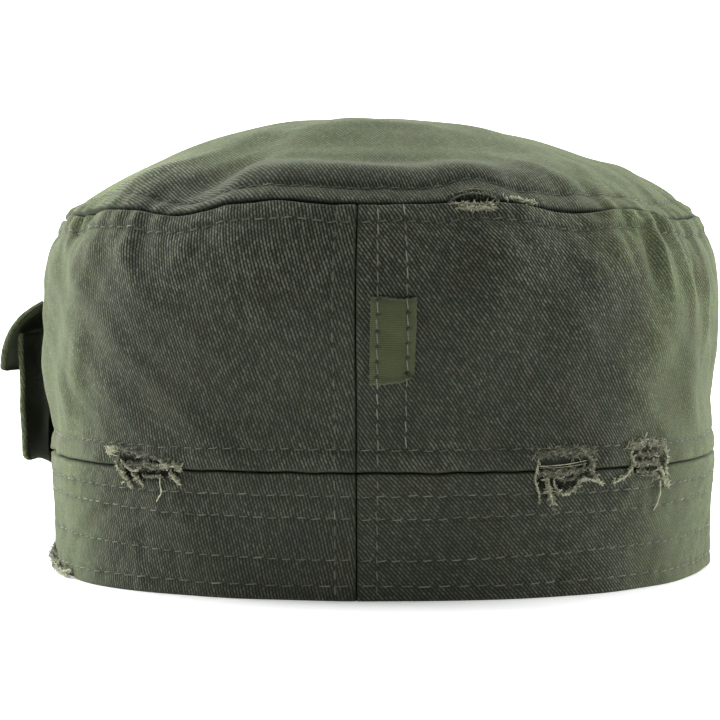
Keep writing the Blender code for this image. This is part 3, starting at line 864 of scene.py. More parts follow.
def over_wall(along, row, out):
    """Points over the side wall, `row` above the band seam."""
    angle = angle_at(-along)
    height, relief, _ = wall_form(angle, row)
    return wall_point(angle, height, relief + out)


def over_top(along, inward, out):
    """Points over the top, `inward` from its seam."""
    angle = angle_at(-along)
    share = 1 - inward / edge_reach(angle)
    return top_point(angle, share, top_form(angle, share)[0] + out)


def near_wall(along, height, out):
    """Points by the side wall or band at a height above the table, kept just off it, without its relief."""
    return wall_point(angle_at(-along), np.maximum(height, OFF_TABLE), out)


def stitch_row(start, end, pitch, seed):
    """Starts and strides of the stitches from start to end on a piece's flat pattern."""
    start, end = np.array(start), np.array(end)
    length = np.linalg.norm(end - start)
    count = int(length / pitch)
    ahead = (end - start) / length
    aside = np.array((-ahead[1], ahead[0]))
    draw = np.random.default_rng(seed)
    places = (np.arange(count) + draw.uniform(-0.05, 0.05, count) + 0.1) / count
    drift = 0.00012 * np.sin(places * length * 90 + seed) + draw.normal(0, 0.00004, count)
    starts = start + (end - start) * places[:, None] + aside * drift[:, None]
    strides = np.repeat([ahead * length / count * STITCH_SHARE + aside * STITCH_SLANT], count, 0)
    strides += aside * draw.normal(0, 0.00008, count)[:, None]
    return np.concatenate((starts, strides), 1)


def lay(surface, rows, wear_and_painted_light=0.3, cover=None, dive=0.00036):
    """Paths and masks of stitches on a surface, sunk at both ends with painted shade, and of the pinch
    between two, painted in shade.
    """
    along = np.linspace(0, 1, 7)
    sink = np.abs(2 * along - 1) ** 3
    pinches = []
    for row in rows:
        ends = row[:-1, :2] + row[:-1, 2:]
        pinches.append(np.concatenate((ends, row[1:, :2] - ends), 1))
    stitched, pinched = np.concatenate(rows), np.concatenate(pinches)
    both = np.concatenate((stitched, pinched))
    places = both[:, None, :2] + along[:, None] * both[:, None, 2:]
    is_stitch = (np.arange(len(both)) < len(stitched))[:, None]
    out = np.where(is_stitch, 0.00011 - dive * sink, -0.00004 - 0.00008 * sink)
    if cover:
        out = out + cover(places[..., 0], places[..., 1])
    draw = np.random.default_rng(len(both))
    worn = np.clip(wear_and_painted_light + draw.normal(0, 0.16, (len(both), 1)) + 0 * out, 0, 1)
    shade = np.where(is_stitch, 0.9 * sink**2, 0.9)
    return surface(places[..., 0], places[..., 1], out), worn, shade


def threads(name, paths, radii, masks, slot, material, sides=4):
    """Round threads, one along each path of points, as one piece."""
    count, rings = paths.shape[:2]
    ahead = np.gradient(paths, axis=1)
    aside = np.cross(ahead, (0.13, 0.31, 0.94))
    aside /= np.linalg.norm(aside, axis=-1, keepdims=True)
    across = np.cross(ahead, aside)
    across /= np.linalg.norm(across, axis=-1, keepdims=True)
    turns = np.linspace(0, 2 * pi, sides, endpoint=False)[:, None]
    ring = np.cos(turns) * aside[:, :, None] + np.sin(turns) * across[:, :, None]
    points = paths[:, :, None] + np.broadcast_to(radii, (count, rings))[:, :, None, None] * ring
    index = np.arange(count * rings * sides).reshape(count, rings, sides)
    after = np.roll(index, -1, axis=2)
    quads = np.stack((index[:, :-1], after[:, :-1], after[:, 1:], index[:, 1:]), -1).reshape(-1, 4)
    caps = np.concatenate((index[:, 0, ::-1], index[:, -1]))
    mesh = bpy.data.meshes.new(name)
    mesh.from_pydata(points.reshape(-1, 3).tolist(), [], quads.tolist() + caps.tolist())
    for key, mask in masks.items():
        each = np.broadcast_to(mask, (count, rings))[:, :, None].repeat(sides, 2)
        mesh.attributes.new(key, "FLOAT", "POINT").data.foreach_set("value", each.ravel().astype(np.float32))
    mesh.shade_smooth()
    mesh.materials.append(material)
    return settle(bpy.data.objects.new(name, mesh), slot)


def yarn(name, fresh, worn):
    """Cotton thread or frayed yarn, paler where it is worn, with shade painted where it dives into the cloth
    and deep in a bundle.
    """
    constants = {"Roughness": 0.85, "Sheen Weight": 0.3, "Specular IOR Level": 0.25}
    material, surface, start = new_material(name, constants)
    grain = start.place().noise(1700, 2.0, 0.7)
    colour = (start.mask("wear_and_painted_light") + (grain - 0.5) * 0.9).clear(0.0, 1.0).blend(fresh, worn)
    start.mask("shade").clear(0.2, 1.0).blend(colour, YARN_SHADE).feed(surface, "Base Color")
    grain.raise_surface(surface, 0.8, 0.00008)
    return material


stitch_thread = yarn("olive_stitch_thread", (0.080, 0.092, 0.062), (0.26, 0.285, 0.205))


def stitches(name, slot, *laid):
    """One piece of thread from all the stitches laid on a surface."""
    paths, wear_and_painted_light, shade = (np.concatenate(parts) for parts in zip(*laid))
    return threads(name, paths, STITCH_RADIUS, {"wear_and_painted_light": wear_and_painted_light, "shade": shade}, slot, stitch_thread)


full_turn = float(round_rim(360.0))
# The woven tab lies over the two right-hand rows beside the back seam, which sew it down.
TAB_WIDTH = 0.0101
TAB_HEIGHT = 0.0202
TAB_CLOTH = 0.0007
TAB_FROM_SEAM = 0.0032
TAB_ABOVE_BAND = 0.0203


def tab_cover(along, row):
    """How much higher a thread runs where the tab lies under it."""
    beside = np.abs(along - TAB_FROM_SEAM - TAB_WIDTH / 2) < TAB_WIDTH / 2
    level_with = np.abs(row - TAB_ABOVE_BAND - TAB_HEIGHT / 2) < TAB_HEIGHT / 2
    return np.where(beside & level_with, TAB_CLOTH + SEAM_GAP - 0.00008, 0)


def back_rows(low, high, seed):
    """Rows up and down beside the back seam."""
    return [
        stitch_row((side, low), (side, high), PITCH, seed + order)
        for order, side in enumerate((-BACK_STITCH_LEFT, BACK_STITCH_RIGHT))
    ]


def round_row(row, pitch, seed):
    """A row all the way round the cap, from the back seam to the back seam."""
    return stitch_row((ROW_END, row), (full_turn - ROW_END, row), pitch, seed)


band_stitches = [
    round_row(height, HEM_PITCH if height == HEM_STITCH else PITCH, 40 + order)
    for order, height in enumerate(BAND_STITCHES)
]
stitches(
    "band_topstitching", "band_twill",
    lay(over_band, band_stitches, 0.32), lay(over_band, back_rows(0.0008, BAND_HEIGHT - 0.001, 50), 0.25),
)
wall_rounds = (WALL_LOW_STITCH, SIDE_HEIGHT - WALL_TOP_STITCH)
wall_stitches = [round_row(row, PITCH, 60 + order) for order, row in enumerate(wall_rounds)]
for side in (-SIDE_SEAM, SIDE_SEAM):
    for off in (-SIDE_STITCH, SIDE_STITCH):
        place = -float(round_rim(side)) + off
        wall_stitches.append(stitch_row((place, 0.001), (place, SIDE_HEIGHT - 0.001), PITCH, 70))
seam_rows = back_rows(0.001, SIDE_HEIGHT - 0.001, 80)
seam_rows.append(
    stitch_row((BACK_STITCH_FAR_RIGHT, WALL_LOW_STITCH), (BACK_STITCH_FAR_RIGHT, SIDE_HEIGHT), PITCH, 84)
)
stitches(
    "wall_topstitching", "crown_twill", lay(over_wall, wall_stitches, 0.22),
    lay(over_wall, seam_rows[:1], 0.12), lay(over_wall, seam_rows[1:], 0.60, tab_cover, 0.00018),
)


def over_top_stitching(along, off, out):
    return over_top(along, top_stitch_at(angle_at(-along)) + off, out)


top_stitches = [stitch_row((0.0, 0.0), (full_turn, 0.0), PITCH * 1.08, 90)]
stitches("top_topstitching", "crown_twill", lay(over_top_stitching, top_stitches, 0.15))

# Peak
# A short curved peak: a stiffener covered in the same twill, sewn into the front of the band and
# quilted with rows of stitches that follow its edge. The photograph hides it behind the cap.
PEAK_REACH = 0.056
PEAK_FULLNESS = 2.35
PEAK_END_WIDTH = 0.0018
PEAK_CLOTH = 0.0032
PEAK_TIP_HEIGHT = 0.0045
PEAK_END_HEIGHT = 0.0004
PEAK_ROWS = (0.0038, 0.0118, 0.0198, 0.0278, 0.0358)  # of stitches, in from its edge
PEAK_MESH_REACH = 0.06  # the rows of its mesh are spaced as for a peak this long
PEAK_ROLL = 0.0014
PEAK_HALF_WIDTH = 0.082  # of its stitched part
peak_front = wall_point(np.array(180.0), rim_height(np.array(180.0)), 0.0) - AXIS
peak_end = wall_point(np.array(180 - PEAK_HALF_ANGLE), 0.0, 0.0) - AXIS


def peak_point(side, share, lift):
    """Points of the peak: side from -1 to 1 across it, share from the band to the tip."""
    angle = 180 + PEAK_HALF_ANGLE * side
    root = wall_point(angle, rim_height(angle), SEAM_GAP) - AXIS
    across = np.sin(pi / 2 * side)
    forward = (1 - np.abs(across) ** PEAK_FULLNESS) ** (1 / PEAK_FULLNESS)
    tip = np.stack((
        -across * (peak_end[0] + PEAK_END_WIDTH),
        peak_end[1] - (PEAK_REACH + peak_end[1] - peak_front[1]) * forward,
        PEAK_END_HEIGHT + (PEAK_TIP_HEIGHT - PEAK_END_HEIGHT) * bump(side),
    ), -1)
    point = root + (tip - root) * share[..., None]
    point[..., 2] += bump(side) * PEAK_CLOTH * np.sin(pi * share) + lift
    return point + AXIS


def peak_span(side):
    """How far the peak reaches from the band, in metres."""
    ends = peak_point(side, np.ones_like(side), 0.0) - peak_point(side, np.zeros_like(side), 0.0)
    return np.maximum(np.linalg.norm(ends, axis=-1), 0.001)


def peak_relief(side, from_edge):
    """Its edge is rounded and its rows of stitches are sunk."""
    relief = -rolled(from_edge, PEAK_ROLL) + 0.00016 * ripple(side * PEAK_HALF_ANGLE, 24, 60, 101)
    for row in PEAK_ROWS:
        relief -= 0.00024 * furrow(from_edge - row, 0.0007)
    return relief


peak_sides = np.sin(np.linspace(-pi / 2, pi / 2, 181))[::-1] * 0.999
peak_shares = 1 - steps(0.0, PEAK_MESH_REACH, 0.0016, 0.0007, (0, *PEAK_ROWS), 0.0016) / PEAK_MESH_REACH
peak_side, peak_share = np.meshgrid(peak_sides, peak_shares)
peak_from_edge = (1 - peak_share) * peak_span(peak_side)
relief = peak_relief(peak_side, peak_from_edge)
outside = peak_point(peak_side, peak_share, PEAK_CLOTH + relief)
inside = peak_point(peak_side, peak_share, np.clip(-relief - 0.0004, 0, None))
peak_flat = np.stack((-outside[..., 0], outside[..., 1]), -1)
peak_masks = masks_of(
    0.0, 0.5 + 0.4 * furrow(peak_from_edge - 0.0006, 0.0010), 0 * peak_side, 0.0,
    0.8 + 0.2 * furrow(peak_from_edge, 0.0016),
)
cloth("peak_cover", outside, inside, peak_flat, peak_masks, (twill_right,), "peak_twill", "peak")


def over_peak(side, from_edge, out):
    share = 1 - from_edge / peak_span(side)
    return peak_point(side, share, PEAK_CLOTH + peak_relief(side, from_edge) + out)


peak_rows = []
for row in PEAK_ROWS:
    # A stitch is laid in shares of the peak's half width along its row.
    reach = np.sqrt(max(1 - (row + 0.006) / 0.075, 0.05)) * 0.98
    lefts = np.arange(-reach, reach, PITCH / PEAK_HALF_WIDTH)
    stride = PITCH / PEAK_HALF_WIDTH * STITCH_SHARE
    peak_rows.append(np.array([(left, row, stride, 0.0002) for left in lefts]))
stitches("peak_topstitching", "peak_twill", lay(over_peak, peak_rows))

# Bellows pocket
# A small patch pocket on the wearer's left: a flat front of single twill on gussets that fold
# inwards, so that from behind its side shows as a dark cleft between two turned edges.
POCKET_ANGLE = 101.0
POCKET_WIDTH = 0.056
POCKET_HEIGHT = 0.031
POCKET_DEPTH = 0.0077
POCKET_CLOTH = 0.0013
POCKET_ABOVE_BAND = 0.0005
POCKET_SAG = 0.0040
POCKET_CORNER = 0.003
POCKET_ROLL = 0.0007
POCKET_STITCH = 0.0022  # in from its edges
pocket_turn = radians(POCKET_ANGLE)
metres_a_degree = hypot(cos(pocket_turn) * CROWN_WIDTH / 2, sin(pocket_turn) * CROWN_LENGTH / 2)
metres_a_degree *= pi / 180


def by_pocket(right, up, out):
    """Points by the pocket: right as seen from outside, up from the band seam, out from the wall."""
    return wall_point(POCKET_ANGLE - right / metres_a_degree, BAND_HEIGHT + up, SEAM_GAP + out)


def sagging(up):
    """How far the soft pocket has sunk over the band seam."""
    return POCKET_SAG * (1 - up / POCKET_HEIGHT)


def edge_steps(start, end, reach):
    """Places across a piece of the pocket, close together at both ends."""
    return steps(start, end, 0.0009, 0.0004, (start, end), reach)


pocket_rights = edge_steps(-POCKET_WIDTH / 2, POCKET_WIDTH / 2, 0.004)
right, up = np.meshgrid(pocket_rights, edge_steps(0.0, POCKET_HEIGHT, 0.004))
from_side = POCKET_WIDTH / 2 - np.abs(right)
low_edge = rolled(from_side, POCKET_CORNER)  # its lower corners are rounded
from_low = up * (1 - low_edge / POCKET_HEIGHT)
raised = POCKET_ABOVE_BAND - sagging(up) + low_edge + from_low
from_rim = np.minimum(from_side, np.minimum(from_low, POCKET_HEIGHT - up))


def pocket_relief(right, up, from_rim):
    relief = -rolled(from_rim, POCKET_ROLL) - 0.00022 * furrow(from_rim - POCKET_STITCH, 0.0006)
    return relief + 0.00025 * fades(from_rim, POCKET_STITCH, 0.001) + slouch_at(right, up)


def slouch_at(right, up):
    """How the soft pocket front leans in and out."""
    lean = 0.00045 * np.sin(up * 210 + 0.7) * (0.5 + 0.5 * np.cos(right * 70))
    return lean - 0.0009 * bump((up - 0.004) / 0.010) + 0.0003 * np.sin(right * 240 + up * 120)


relief = pocket_relief(right, up, from_rim)
outside = by_pocket(right, raised, POCKET_DEPTH + relief)
inside_out = POCKET_DEPTH - POCKET_CLOTH + slouch_at(right, up) - 0.3 * rolled(from_rim, POCKET_ROLL)
inside = by_pocket(right, raised, inside_out)
pocket_flat = np.stack((right, up), -1)
pocket_smooth = 0.55 + 0.45 * furrow(from_rim, 0.0012)
pocket_masks = masks_of(0.0, 1.2 * furrow(from_rim - 0.0002, 0.0007), 0 * right, 0.0, pocket_smooth)
# The pocket's lining is painted in shade.
cloth(
    "pocket_front", outside, inside, pocket_flat, pocket_masks, (twill_left,), "pocket_twill", "pocket",
    shade_inside=0.9,
)

# The gusset runs down one side, along the bottom and up the other; its fold points inwards.
GUSSET_FOLD = 0.0042
GUSSET_CLOTH = 0.0009
half, tall = POCKET_WIDTH / 2 - 0.0006, POCKET_HEIGHT
corner = POCKET_CORNER
walk_turns = np.linspace(0, pi / 2, 7)
walk = [(-half, up_at) for up_at in np.linspace(tall, corner, 30)]
walk += [(-half + corner - corner * np.cos(t), corner - corner * np.sin(t)) for t in walk_turns[1:]]
walk += [(right_at, 0.0) for right_at in np.linspace(-half + corner, half - corner, 46)[1:]]
walk += [(half - corner + corner * np.sin(t), corner - corner * np.cos(t)) for t in walk_turns[1:]]
walk += [(half, up_at) for up_at in np.linspace(corner, tall, 30)[1:]]
walk = np.array(walk)
heading = np.gradient(walk, axis=0)
heading /= np.linalg.norm(heading, axis=1, keepdims=True)
inwards = np.stack((-heading[:, 1], heading[:, 0]), -1)
depth_shares = np.linspace(0, 1, 15)
fold = GUSSET_FOLD * (1 - np.abs(2 * depth_shares - 1) ** 1.6)
wobble = 1 + 0.22 * np.sin(np.arange(len(walk)) * 0.35)[:, None]
wobble = wobble * (0.2 + 0.8 * ease((walk[:, 1:] - 0.002) / 0.010))


def gusset_grid(extra):
    place = walk[:, None] + inwards[:, None] * (fold * wobble + extra)[..., None]
    out = (POCKET_DEPTH - POCKET_CLOTH * 0.7) * depth_shares
    sag = slouch_at(place[..., 0], place[..., 1]) * depth_shares
    raised = POCKET_ABOVE_BAND + place[..., 1] - sagging(place[..., 1]) * (1.25 - 0.25 * depth_shares)
    return by_pocket(place[..., 0], raised, out + sag).transpose(1, 0, 2)


length_along = np.cumsum(np.concatenate(([0], np.linalg.norm(np.diff(walk, axis=0), axis=1))))
gusset_flat = np.stack(np.meshgrid(length_along, depth_shares * 0.012), -1)
# Painted shade over the gusset, which lies in the cleft, and over its lining.
gusset_masks = masks_of(90.0, 0 * gusset_flat[..., 0], 0.93, 0.0)
outside, inside = gusset_grid(0.0)[:, ::-1], gusset_grid(GUSSET_CLOTH)[:, ::-1]
cloth(
    "pocket_gusset", outside, inside, gusset_flat[:, ::-1], gusset_masks, (twill_left,), "pocket_twill",
    shade_inside=0.95,
)


def over_pocket(right, up, out):
    from_rim = np.minimum(POCKET_WIDTH / 2 - np.abs(right), np.minimum(up, POCKET_HEIGHT - up))
    raised = POCKET_ABOVE_BAND + up - sagging(up)
    return by_pocket(right, raised, POCKET_DEPTH + pocket_relief(right, up, from_rim) + out)


far, low, high = POCKET_WIDTH / 2 - POCKET_STITCH, POCKET_STITCH, POCKET_HEIGHT - POCKET_STITCH
pocket_rows = [
    stitch_row((-far, high), (-far, low + 0.001), PITCH, 110),
    stitch_row((-far + 0.001, low), (far - 0.001, low), PITCH, 111),
    stitch_row((far, low + 0.001), (far, high), PITCH, 112),
]
stitches("pocket_topstitching", "pocket_twill", lay(over_pocket, pocket_rows))

# Pocket flap
# A doubled piece of twill sewn to the wall above the pocket, bent down over its mouth. Its edges
# are turned and topstitched twice, and it stands away from the pocket a little.
FLAP_WIDTH = 0.061
FLAP_ABOVE_BAND = 0.0405
FLAP_DROP = 0.018
FLAP_DEPTH = 0.0122
FLAP_CLOTH = 0.0018
FLAP_ROLL = 0.0008
FLAP_STITCHES = (0.0024, 0.0068)  # in from its edges
# Share of the flap's depth it stands out, and share of its drop, along its bent length.
FLAP_BENDS = ((0, 0), (0.30, 0.12), (0.56, 0.27), (0.75, 0.47), (0.87, 0.70), (0.95, 0.90), (1, 1.06))
bend_out, bend_down = np.array(FLAP_BENDS, float).T
bend_length = np.hypot(np.diff(bend_out) * FLAP_DEPTH, np.diff(bend_down) * FLAP_DROP)
flap_length = float(bend_length.sum())
bend_places = np.concatenate(([0], np.cumsum(bend_length))) / flap_length


def flap_point(right, along, out):
    """Points of the flap: along from 0 at the wall to 1 at its free edge."""
    bent_out = curve(np.stack((bend_places, bend_out), -1), along) * (FLAP_DEPTH - FLAP_CLOTH)
    bent_down = curve(np.stack((bend_places, bend_down), -1), along) * FLAP_DROP
    tilt = np.radians(90 - 80 * ease(along))
    point_up = FLAP_ABOVE_BAND - bent_down + np.sin(tilt) * (out - FLAP_CLOTH)
    return by_pocket(right, point_up, FLAP_CLOTH + bent_out + np.cos(tilt) * (out - FLAP_CLOTH))


def from_flap_rim(right, along):
    return np.minimum(FLAP_WIDTH / 2 - np.abs(right), (1 - along) * flap_length)


def flap_relief(right, along):
    from_rim = from_flap_rim(right, along)
    relief = -rolled(from_rim, FLAP_ROLL) + 0.00028 * fades(from_rim, 0.0020, 0.001)
    relief -= sum(0.00022 * furrow(from_rim - row, 0.0006) for row in FLAP_STITCHES)
    return relief + 0.00035 * np.sin(right * 170 + along * 4) + 0.0004 * np.sin(right * 60 + 1) * along


flap_alongs = 1 - steps(0.0, 1.0, 0.036, 0.018, (0.0,), 0.14)
right, along = np.meshgrid(edge_steps(-FLAP_WIDTH / 2, FLAP_WIDTH / 2, 0.003), flap_alongs)
relief = flap_relief(right, along)
outside = flap_point(right, along, FLAP_CLOTH + relief)
turned_in = 0.45 * rolled(FLAP_WIDTH / 2 - np.abs(right), FLAP_ROLL)
inside = flap_point(right, along, turned_in + 0.0002 + 0.5 * np.clip(relief, 0, None))
from_rim = from_flap_rim(right, along)
flap_smooth = 0.55 + 0.45 * furrow(from_rim, 0.0012)
flap_masks = masks_of(0.0, 1.3 * furrow(from_rim - 0.0002, 0.0008), 0 * right, 0.0, flap_smooth)
flap_flat = np.stack((right, -along * flap_length), -1)
# The flap's underside is painted in shade.
cloth(
    "pocket_flap_cloth", outside, inside, flap_flat, flap_masks, (twill_left,), "pocket_twill", "pocket_flap",
    shade_inside=0.85,
)


def over_flap(right, down, out):
    along = down / flap_length
    return flap_point(right, along, FLAP_CLOTH + flap_relief(right, along) + out)


flap_rows = []
for order, off in enumerate(FLAP_STITCHES):
    far, low = FLAP_WIDTH / 2 - off, flap_length - off
    flap_rows += [
        stitch_row((-far, 0.003), (-far, low), PITCH, 120 + order),
        stitch_row((-far, low), (far, low), PITCH, 123 + order),
        stitch_row((far, low), (far, 0.003), PITCH, 126 + order),
    ]
flap_rows.append(stitch_row((-FLAP_WIDTH / 2 + 0.001, 0.0022), (FLAP_WIDTH / 2 - 0.001, 0.0022), PITCH, 129))
stitches("flap_topstitching", "pocket_twill", lay(over_flap, flap_rows))

# Woven tab
# A short loop of woven tape in a yellower olive, pressed flat and sewn on beside the back seam.
# Its weft shows as fine ribs across it. It carries no lettering.
TAPE = (0.074, 0.096, 0.024)
TAPE_DARK = (0.036, 0.046, 0.016)
SELVEDGE = (0.086, 0.097, 0.042)
WEFT_PITCH, WARP_PITCH = 0.42, 0.5  # mm


def tape(name):
    """Ribbed weft, with a paler selvedge where the cloth's pale-edge mask stands for the tape's edges, and
    shade painted where its shade mask says.
    """
    material, surface, start = new_material(name, {"Roughness": 0.75, "Sheen Weight": 0.15})
    place = start.place()
    right, up = start.flat_pattern()
    shaded, edge = start.mask("shade"), start.mask("wear_and_painted_light")
    wander = place.noise(400, 2.0) - 0.5
    weave = (up / WEFT_PITCH + wander * 0.6).wave() * (0.55 + 0.45 * (right / WARP_PITCH + wander).wave())
    mottle = place.noise(900, 2.0, 0.7)
    tone = (weave * 0.7 + mottle * 0.5).clear(0.0, 1.1)
    colour = (tone * edge).blend(tone.blend(TAPE_DARK, TAPE), SELVEDGE)
    (shaded * 0.92).blend(colour, DEEP_SHADE).feed(surface, "Base Color")
    (weave + mottle * 0.4).raise_surface(surface, 1.0, 0.0001)
    return material


tab_right, tab_up = np.meshgrid(np.linspace(0, TAB_WIDTH, 56), np.linspace(0, TAB_HEIGHT, 100))
tab_joints = [
    joint - (TAB_FROM_SEAM, TAB_ABOVE_BAND + 0.0004)
    for row in seam_rows[1:] for joint in row[:, :2]
    if TAB_ABOVE_BAND < joint[1] < TAB_ABOVE_BAND + TAB_HEIGHT
]


def tab_form(right, up):
    """Ragged outline and relief of the tab at a place on its flat strip, and where stitches pinch it."""
    end = np.minimum(up, TAB_HEIGHT - up)
    side = np.minimum(right, TAB_WIDTH - right)
    pinched = sum(bump((right - x) / 0.0010) * bump((up - y) / 0.00042) for x, y in tab_joints)
    corner = bump((right - TAB_WIDTH) / 0.0030) * bump(up / 0.0026)
    relief = -rolled(side, 0.0003) - rolled(end, 0.0003) + 0.00008 * np.sin(up * 900 + right * 300)
    relief += 0.0009 * corner - 0.00022 * pinched
    for row in (BACK_STITCH_RIGHT, BACK_STITCH_FAR_RIGHT):
        relief -= 0.00016 * furrow(right + TAB_FROM_SEAM - row, 0.0007)
    ragged = 0.00007 * np.sin(up * 2900 + 3 * np.sin(up * 700)) * (2 * right / TAB_WIDTH - 1)
    bowed = 0.00025 * np.sin(right * 620 + 0.5) + 0.00008 * np.sin(right * 4100)
    lean = 0.0004 * (up / TAB_HEIGHT - 0.5)
    outline_up = up + bowed * (2 * up / TAB_HEIGHT - 1) + 0.0012 * corner
    return right + lean + ragged - 0.0009 * corner, outline_up, relief, np.clip(pinched, 0, 1)


tab_x, tab_y, relief, pinched = tab_form(tab_right, tab_up)
along, row = TAB_FROM_SEAM + tab_x, TAB_ABOVE_BAND + tab_y
outside = over_wall(along, row, TAB_CLOTH + SEAM_GAP + relief)
inside = over_wall(along, row, SEAM_GAP * 0.5 + 0.7 * np.maximum(relief, 0))
tab_flat = np.stack((tab_right, tab_up), -1)
tab_side = np.minimum(tab_right, TAB_WIDTH - tab_right)
tab_end = np.minimum(tab_up, TAB_HEIGHT - tab_up)
tab_masks = {
    "wear_and_painted_light": np.maximum(1 - ease((tab_side - 0.0012) / 0.0010), 0.8 * furrow(tab_end, 0.0004)),
    "shade": np.maximum(0.95 * pinched, 0.35 * furrow(tab_end - 0.0010, 0.0005)),
}
cloth(
    "woven_tab_tape", outside, inside, tab_flat, tab_masks, (tape("olive_woven_tape"),), "woven_tape",
    "woven_tab",
)

# Frays
# The cloth is cut and worn through on purpose at five places: three along the band seam, one on
# the top seam and one at the hem. Pale cotton yarns fringe each hole and hang from it.
rng = np.random.default_rng(7)
fray_yarn = yarn("frayed_cotton_yarn", (0.112, 0.116, 0.074), (0.58, 0.59, 0.40))
# Path, radii, wear and shade of every loose yarn.
loose = {"strands": [], "tufts": [], "fibres": []}
STRAND_RINGS = 26
FIBRE_RINGS = 6
BELOW_SURFACE = 0.0005  # the deepest that a fibre curls into the cloth


def along_path(points, at):
    """Places at shares of the way along a smooth line through the points."""
    points = np.array(points, float)
    lengths = np.concatenate(([0], np.cumsum(np.linalg.norm(np.diff(points[:, :2], axis=0), axis=1))))
    return np.stack([curve(np.stack((lengths / lengths[-1], column), -1), at) for column in points.T], -1)


def curl(start, heading, length, wander):
    """Points of a fibre that sets out from start and curls as it goes."""
    path = [start]
    for _ in range(FIBRE_RINGS - 1):
        heading = heading / max(np.linalg.norm(heading), 1e-6)
        path.append(path[-1] + heading * length / (FIBRE_RINGS - 1))
        heading = heading + rng.normal(0, wander, 3)
    path = np.array(path)
    path[:, 2] = np.maximum(path[:, 2], -BELOW_SURFACE)
    return path


def fringe(surface, core, thick, tufts, fibres, pale, points):
    """A bundle of loose yarn along points of (angle, height mm, out mm) on a surface."""
    at = np.linspace(0, 1, STRAND_RINGS)
    middle = along_path(points, at)
    middle = np.stack((-round_rim(middle[:, 0]), middle[:, 1] / 1000, middle[:, 2] / 1000), -1)
    ahead = np.gradient(middle, axis=0)
    ahead /= np.linalg.norm(ahead, axis=1, keepdims=True)
    thick = thick / 1000
    if core:
        lumps = 1 + 0.22 * np.sin(at * rng.uniform(14, 30)) + rng.normal(0, 0.10, STRAND_RINGS)
        taper = 0.25 + 0.75 * np.sin(np.clip(at * 0.96 + 0.02, 0, 1) * pi) ** 0.35
        place = middle + rng.normal(0, 0.07 * thick, middle.shape)
        radii = np.clip(thick * (0.36 if tufts else 0.5) * lumps * taper, 0.00005, None)
        # Painted shade: a core among tufts is painted darker.
        worn = np.clip(pale - 0.1 * bool(tufts) + rng.normal(0, 0.12, STRAND_RINGS), 0, 1)
        loose["strands"].append((surface(*place.T), radii, worn, np.full(STRAND_RINGS, 0.20 * bool(tufts))))
    for order in range(tufts + fibres):
        is_tuft = order < tufts
        ring = int(rng.integers(0, STRAND_RINGS))
        place = middle[ring] + rng.normal(0, 0.26 if is_tuft else 0.30, 3) * thick
        if is_tuft:
            heading = ahead[ring] * rng.choice((-1, 1)) + rng.normal(0, 0.45, 3)
            path = curl(place, heading, thick * rng.uniform(0.7, 1.6), 0.42)
            radius = rng.uniform(0.11, 0.20) * min(thick, 0.0010)
            size = radius * np.sin(np.linspace(0.2, 1.0, FIBRE_RINGS) * pi) ** 0.5 + 0.00002
        else:
            heading = ahead[ring] * rng.choice((-1, 1)) + rng.normal(0, 0.8, 3)
            path = curl(place, heading, thick * rng.uniform(0.5, 1.3), 0.85)
            size = np.linspace(1, 0.5, FIBRE_RINGS) * rng.uniform(0.00004, 0.00008)
        # Painted shade: fibres that lie deeper in the bundle are painted darker.
        depth = np.clip(0.5 - (path[:, 2] - middle[ring, 2]) / thick, 0, 1)
        worn = np.clip(pale + rng.normal(0.06, 0.20), 0, 1) * (1 - 0.4 * depth)
        depth_shade = np.clip(0.55 * depth - 0.15 + rng.normal(0, 0.10), 0, 1)
        loose["tufts" if is_tuft else "fibres"].append((surface(*path.T), size, worn, depth_shade))


def over_top_seam(along, beyond, out):
    """Points by the top seam: beyond it over the top panel, or short of it down the wall."""
    angle = angle_at(-along)
    on_wall = wall_point(angle, top_seam_height(angle) + np.minimum(beyond, 0), out)
    on_top = top_point(angle, 1 - np.maximum(beyond, 0) / edge_reach(angle), out)
    return np.where((beyond > 0)[..., None], on_top, on_wall)


